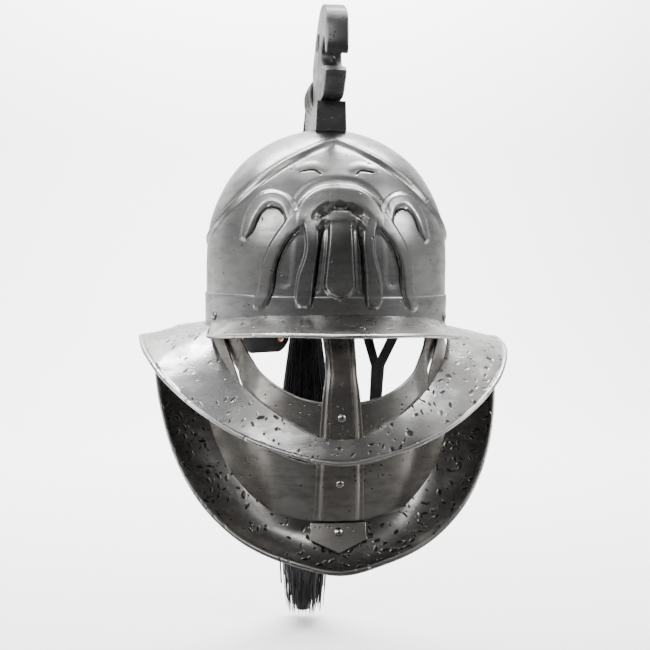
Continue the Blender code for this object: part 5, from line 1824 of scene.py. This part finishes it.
@dataclass
class Straps:
    """The buckled chin strap, the forked strap and the liner's flap."""

    finishes: Finishes
    leather: float = 0.0022
    width: float = 0.014
    drop: float = 0.115
    ease: float = 0.004
    buckle_width: float = 0.0205
    buckle_height: float = 0.026
    wire: float = 0.0012
    prong: float = 0.0009
    gap: float = 0.0004
    tail: float = 0.006
    fold: float = 0.0009
    fold_gap: float = 0.0003
    fold_bend: float = 0.003
    fold_top: float = 0.0075
    slot_half: float = 0.0008
    slot_cut: float = 0.0017
    corner: float = 0.003
    bar_corner: float = 0.001
    roller: float = 0.0015
    path: Rows = ((0.209, 0.05), (0.009, 0.05), (-0.174, 0.55), (-0.522, 0.875), (-0.904, 1.0))
    flap_ends: tuple[float, float] = (-165.0, -135.0)
    flap_drop: float = 0.036
    flap_round: float = 0.012
    flap_seat: float = 0.020
    flap_lean: float = 0.003
    flap_steps: int = 61

    def wall(self) -> float:
        """Give the radius of the strap's outer side where it leaves the crown."""
        return float(BOWL.rim(90.0)) - SHEET - FIT

    def middle(self) -> float:
        """Give the radius at which the strap and its buckle hang."""
        return self.wall() - self.ease - self.leather / 2

    def buckled(self) -> None:
        """Build the buckled strap with its end folded round the buckle's bar."""
        middle = self.middle()
        half = self.leather / 2
        across = np.array([0.0, 1.0, 0.0])
        points = [(self.wall() - half - self.ease * e, 0, self.drop * h) for h, e in self.path]
        points.append((middle, 0, -self.drop + self.tail))
        main = smooth_line(np.array(points), 60)
        parts = [(strap_rings(main, across, self.width, self.leather), False)]
        reach = self.wire + self.fold_gap + self.fold / 2
        turn = np.radians(np.linspace(0, -180, 13))
        loop = np.array([[reach * 0.75, 0, self.fold_top], [reach, 0, self.fold_bend]]
                        + [[reach * math.cos(t), 0, reach * math.sin(t)] for t in turn]
                        + [[-reach, 0, self.fold_bend], [-reach * 0.75, 0, self.fold_top]])
        for side in (-1, 1):
            offset = side * (self.width / 4 + self.slot_half)
            path = loop + np.array([middle, offset, -self.drop])
            parts.append((strap_rings(path, across, self.width / 2 - self.slot_cut, self.fold), False))
        strap = merged("buckle_strap_hide", parts, sharp=60)
        present(strap, self.finishes.hide, Slot.LEATHER, "buckle_strap")
        present(carried("strap_keeper", 0.0005), self.finishes.hide, Slot.LEATHER, "strap_keeper")

    def buckle(self) -> None:
        """Build the buckle's frame with its roller, and the prong."""
        middle = self.middle()
        half = self.buckle_width / 2 - self.wire
        top, low = -self.drop, -self.drop - self.buckle_height + 2 * self.wire
        upper, lower = self.bar_corner, self.corner
        ring = []
        corners = ((half - upper, top - upper, upper, 0), (-half + upper, top - upper, upper, 90),
                   (-half + lower, low + lower, lower, 180), (half - lower, low + lower, lower, 270))
        for cy, cz, radius, first in corners:
            for t in np.radians(np.linspace(first, first + 90, 7)):
                ring.append((middle, cy + radius * math.cos(t), cz + radius * math.sin(t)))
        wire = closed_tube(smooth_line(np.array(ring), 96, closed=True), self.wire, 12)
        roller = np.array([[middle, y, low] for y in np.linspace(-half + lower, half - lower, 6)])
        parts = [(wire, True), (tube_rings(roller, self.roller, 16), False)]
        present(merged("buckle_wire", parts, sharp=50), self.finishes.nickel, Slot.NICKEL, "buckle_frame")
        self.pin(middle, top, low)

    def pin(self, middle: float, top: float, low: float) -> None:
        """Build the buckle's prong.

        Args:
            middle: the buckle's radius.
            top: the height of the bar that it turns on.
            low: the height of the bar that it rests on.
        """
        lift = self.wire + self.prong + self.gap
        path = [(middle + lift, 0, low - self.wire * 0.5), (middle + lift, 0, top - (top - low) * 0.5)]
        path += [(middle + lift * math.cos(t), 0, top + lift * math.sin(t))
                 for t in np.radians([-20, 25, 70, 115, 160, 205])]
        line = smooth_line(np.array(path), 60)
        size = self.prong * np.clip(0.55 + np.linspace(0, 6, len(line)), 0, 1)
        pin = loft("prong_pin", tube_rings(line, size, 12))
        present(pin, self.finishes.nickel, Slot.NICKEL, "buckle_prong", body=Body.PRONG)

    def build(self) -> None:
        """Build and dress the straps."""
        self.buckled()
        self.buckle()
        present(carried("plain_strap", 0.0006, 3), self.finishes.hide, Slot.LEATHER, "plain_strap")
        present(self.flap(), self.finishes.hide, Slot.LEATHER, "liner_flap")

    def flap(self) -> bpy.types.Object:
        """Make the liner's flap, with its lower corners rounded.

        Returns:
            The object.
        """
        count = self.flap_steps
        angle = np.linspace(*self.flap_ends, count)
        radius = BOWL.rim(angle) - SHEET - FIT
        t = np.linspace(-1, 1, count)
        low = -self.flap_drop + self.flap_round * np.clip((np.abs(t) - 0.55) / 0.45, 0, 1) ** 2
        rows = ((radius, np.full(count, self.flap_seat)), (radius, np.zeros(count)),
                (radius - self.flap_lean / 2, 0.5 * low), (radius - self.flap_lean, low))
        lines = np.stack([np.stack(row, 1) for row in rows], 1)
        return Run(angle, lines, thick=self.leather, uneven=0.0004, steps=18).build("liner_flap_hide")


@dataclass
class Studio:
    """The floor, the lights and the camera."""

    floor_height: float = -0.372
    eye: tuple[float, float, float] = (-0.0863, -0.8551, 0.0581)
    yaw: float = -5.56
    dip: float = 1.71
    roll: float = 0.62
    lens: float = 50.3
    shift: tuple[float, float] = (0.004, -0.054)
    sensor: float = 36.0
    floor_half: float = 4.0
    floor_front: float = -2.5
    floor_back: float = 1.2
    bend: float = 0.8
    bend_steps: int = 40
    wall_top: float = 3.2
    lights: tuple[tuple[str, tuple, tuple, tuple, float], ...] = (
        ("key_left", (-1.4, -0.7, 0.85), (0, 0, 0.05), (0.6, 0.9), 17),
        ("key_right", (1.5, -0.6, 0.95), (0, 0, 0.05), (0.6, 0.9), 19),
        ("top", (0.0, -0.1, 1.5), (0, 0, 0.1), (1.0, 0.7), 7),
        ("front_high", (-0.5, -1.5, 1.1), (0, 0, 0.0), (0.45, 0.45), 7),
        ("back", (0.0, 0.9, 1.9), (0, 2.0, 0.2), (2.6, 0.5), 300),
    )

    def floor(self) -> None:
        """Make the pale floor that curves up behind."""
        profile = [(self.floor_front, 0.0), (self.floor_back, 0.0)]
        profile += [(self.floor_back + self.bend * math.sin(t), self.bend - self.bend * math.cos(t))
                    for t in np.linspace(0.05, math.pi / 2, self.bend_steps)]
        profile.append((self.floor_back + self.bend, self.wall_top))
        half = self.floor_half
        vertices = [(x, y, self.floor_height + z) for y, z in profile for x in (-half, half)]
        faces = [[2 * k, 2 * k + 1, 2 * k + 3, 2 * k + 2] for k in range(len(profile) - 1)]
        obj = mesh_object("studio_floor", np.array(vertices), faces)
        made = bpy.data.materials.new("Pale floor")
        made.use_nodes = True
        graph = Graph(made.node_tree)
        shader = made.node_tree.nodes["Principled BSDF"]
        along = graph.add("SeparateXYZ", Vector=graph.add("TexCoord").outputs["Object"]).outputs[1]
        shade = graph.ramp(along, -0.35, 0.2)
        graph.put(shader.inputs["Base Color"], graph.mix(shade, grey(0.06), grey(0.93)))
        shader.inputs["Roughness"].default_value = 0.9
        obj.data.materials.append(made)

    def light(self, name: str, place: tuple[float, float, float], aim: tuple[float, float, float],
              size: tuple[float, float], power: float) -> None:
        """Add a soft box.

        Args:
            name: its name.
            place: where it stands.
            aim: the point that it faces.
            size: its width and height.
            power: its watts.
        """
        lamp = bpy.data.lights.new(name, "AREA")
        lamp.shape = "RECTANGLE"
        lamp.size, lamp.size_y = size
        lamp.energy = power
        obj = bpy.data.objects.new(name, lamp)
        bpy.context.scene.collection.objects.link(obj)
        direction = Vector(aim) - Vector(place)
        obj.matrix_world = Matrix.Translation(place) @ direction.to_track_quat("-Z", "Y").to_matrix().to_4x4()

    def build(self) -> None:
        """Build the studio: the floor, the world's glow, the lights and the camera."""
        self.floor()
        world = bpy.data.worlds.new("Studio")
        world.use_nodes = True
        graph = Graph(world.node_tree)
        place = graph.add("SeparateXYZ", Vector=graph.add("TexCoord").outputs["Generated"])
        aside = graph.ramp(graph.maths("ABSOLUTE", place.outputs[0]), 0.35, 0.95)
        above = graph.ramp(place.outputs[2], 0.35, 0.9, 0.0, 0.6)
        behind = graph.ramp(place.outputs[1], 0.2, 0.6)
        glow = graph.maths("MAXIMUM", graph.maths("MAXIMUM", aside, above), behind)
        back = world.node_tree.nodes["Background"]
        graph.put(back.inputs[0], graph.mix(glow, grey(0.03, -0.03), grey(0.5, -0.02)))
        back.inputs[1].default_value = 0.8
        bpy.context.scene.world = world
        for light in self.lights:
            self.light(*light)
        self.camera()

    def camera(self) -> None:
        """Set the camera."""
        camera = bpy.data.cameras.new("Camera")
        camera.lens = self.lens
        camera.sensor_width = self.sensor
        camera.shift_x, camera.shift_y = self.shift
        camera.clip_start = 0.01
        obj = bpy.data.objects.new("Camera", camera)
        bpy.context.scene.collection.objects.link(obj)
        turn = (Matrix.Rotation(math.radians(self.yaw), 4, "Z")
                @ Matrix.Rotation(math.radians(90 - self.dip), 4, "X")
                @ Matrix.Rotation(math.radians(self.roll), 4, "Z"))
        obj.matrix_world = Matrix.Translation(self.eye) @ turn
        bpy.context.scene.camera = obj


HEAD_OUTLINE: Rows = (
    (-0.506, 0.008), (-0.580, 0.017), (-0.667, 0.052), (-0.778, 0.133), (-0.889, 0.225), (-0.741, 0.295),
    (-0.642, 0.301), (-0.556, 0.295), (-0.457, 0.341), (-0.383, 0.410), (-0.358, 0.491), (-0.407, 0.572),
    (-0.506, 0.618), (-0.605, 0.618), (-0.716, 0.572), (-0.790, 0.503), (-0.827, 0.410), (-0.963, 0.376),
    (-1.000, 0.457), (-0.988, 0.595), (-0.963, 0.711), (-0.901, 0.792), (-0.802, 0.861), (-0.642, 0.931),
    (-0.457, 0.983), (-0.284, 1.000), (-0.123, 0.988), (0.062, 0.931), (0.247, 0.850), (0.420, 0.757),
    (0.580, 0.653), (0.736, 0.520), (0.652, 0.017), (0.531, 0.017), (0.383, 0.023), (0.309, 0.008),
)
NECK: Rows = (
    (0.287, 0.846, 0.319, 1.000, 0.78), (0.335, 0.825, 0.372, 0.980, 0.95),
    (0.356, 0.817, 0.394, 0.972, 1.00), (0.378, 0.809, 0.410, 0.947, 0.90),
    (0.441, 0.776, 0.489, 0.911, 0.84), (0.449, 0.772, 0.497, 0.909, 0.84),
    (0.521, 0.732, 0.569, 0.866, 0.80), (0.596, 0.679, 0.638, 0.813, 0.76),
    (0.670, 0.614, 0.729, 0.732, 0.72), (0.739, 0.537, 0.814, 0.634, 0.68),
    (0.793, 0.459, 0.883, 0.545, 0.66), (0.835, 0.374, 0.936, 0.427, 0.64),
    (0.872, 0.276, 0.979, 0.301, 0.62), (0.899, 0.175, 1.000, 0.175, 0.62),
    (0.915, 0.061, 1.000, 0.061, 0.64), (0.915, -0.057, 1.000, -0.057, 0.64),
)
PLUME: Rows = (
    (0.424, 0.564, 0.315, 0.20), (0.446, 0.592, 0.22, 0.25), (0.476, 0.614, 0.26, 0.28),
    (0.532, 0.628, 0.28, 0.30), (0.593, 0.617, 0.30, 0.30), (0.658, 0.575, 0.32, 0.31),
    (0.727, 0.511, 0.36, 0.40), (0.792, 0.431, 0.40, 0.52), (0.844, 0.344, 0.42, 0.56),
    (0.883, 0.256, 0.40, 0.52), (0.905, 0.172, 0.36, 0.38), (0.913, 0.122, 0.32, 0.30),
    (0.920, 0.094, 0.32, 0.30), (0.957, 0.017, 0.42, 0.34), (0.976, -0.078, 0.55, 0.42),
    (0.970, -0.178, 0.70, 0.50), (0.952, -0.278, 0.85, 0.66), (0.939, -0.389, 0.97, 0.86),
    (0.939, -0.500, 1.00, 1.00), (0.948, -0.625, 0.98, 1.00), (0.965, -0.750, 0.94, 0.98),
    (0.987, -0.875, 0.88, 0.94), (1.000, -1.000, 0.80, 0.86),
)


def main() -> None:
    """Build the helmet and its studio."""
    logging.basicConfig(level=logging.INFO, format="%(message)s")
    bpy.context.preferences.edit.use_global_undo = False
    finishes = Finishes(Groups())
    Crown(finishes).build()
    Brim(finishes).build()
    FaceGuard(finishes).build()
    Rivets(finishes).build()
    Crest(finishes, outline=HEAD_OUTLINE, neck=NECK).build()
    Plume(finishes, stations=PLUME).build()
    Straps(finishes).build()
    Studio().build()
    bpy.context.view_layer.update()


if __name__ == "__main__":
    main()
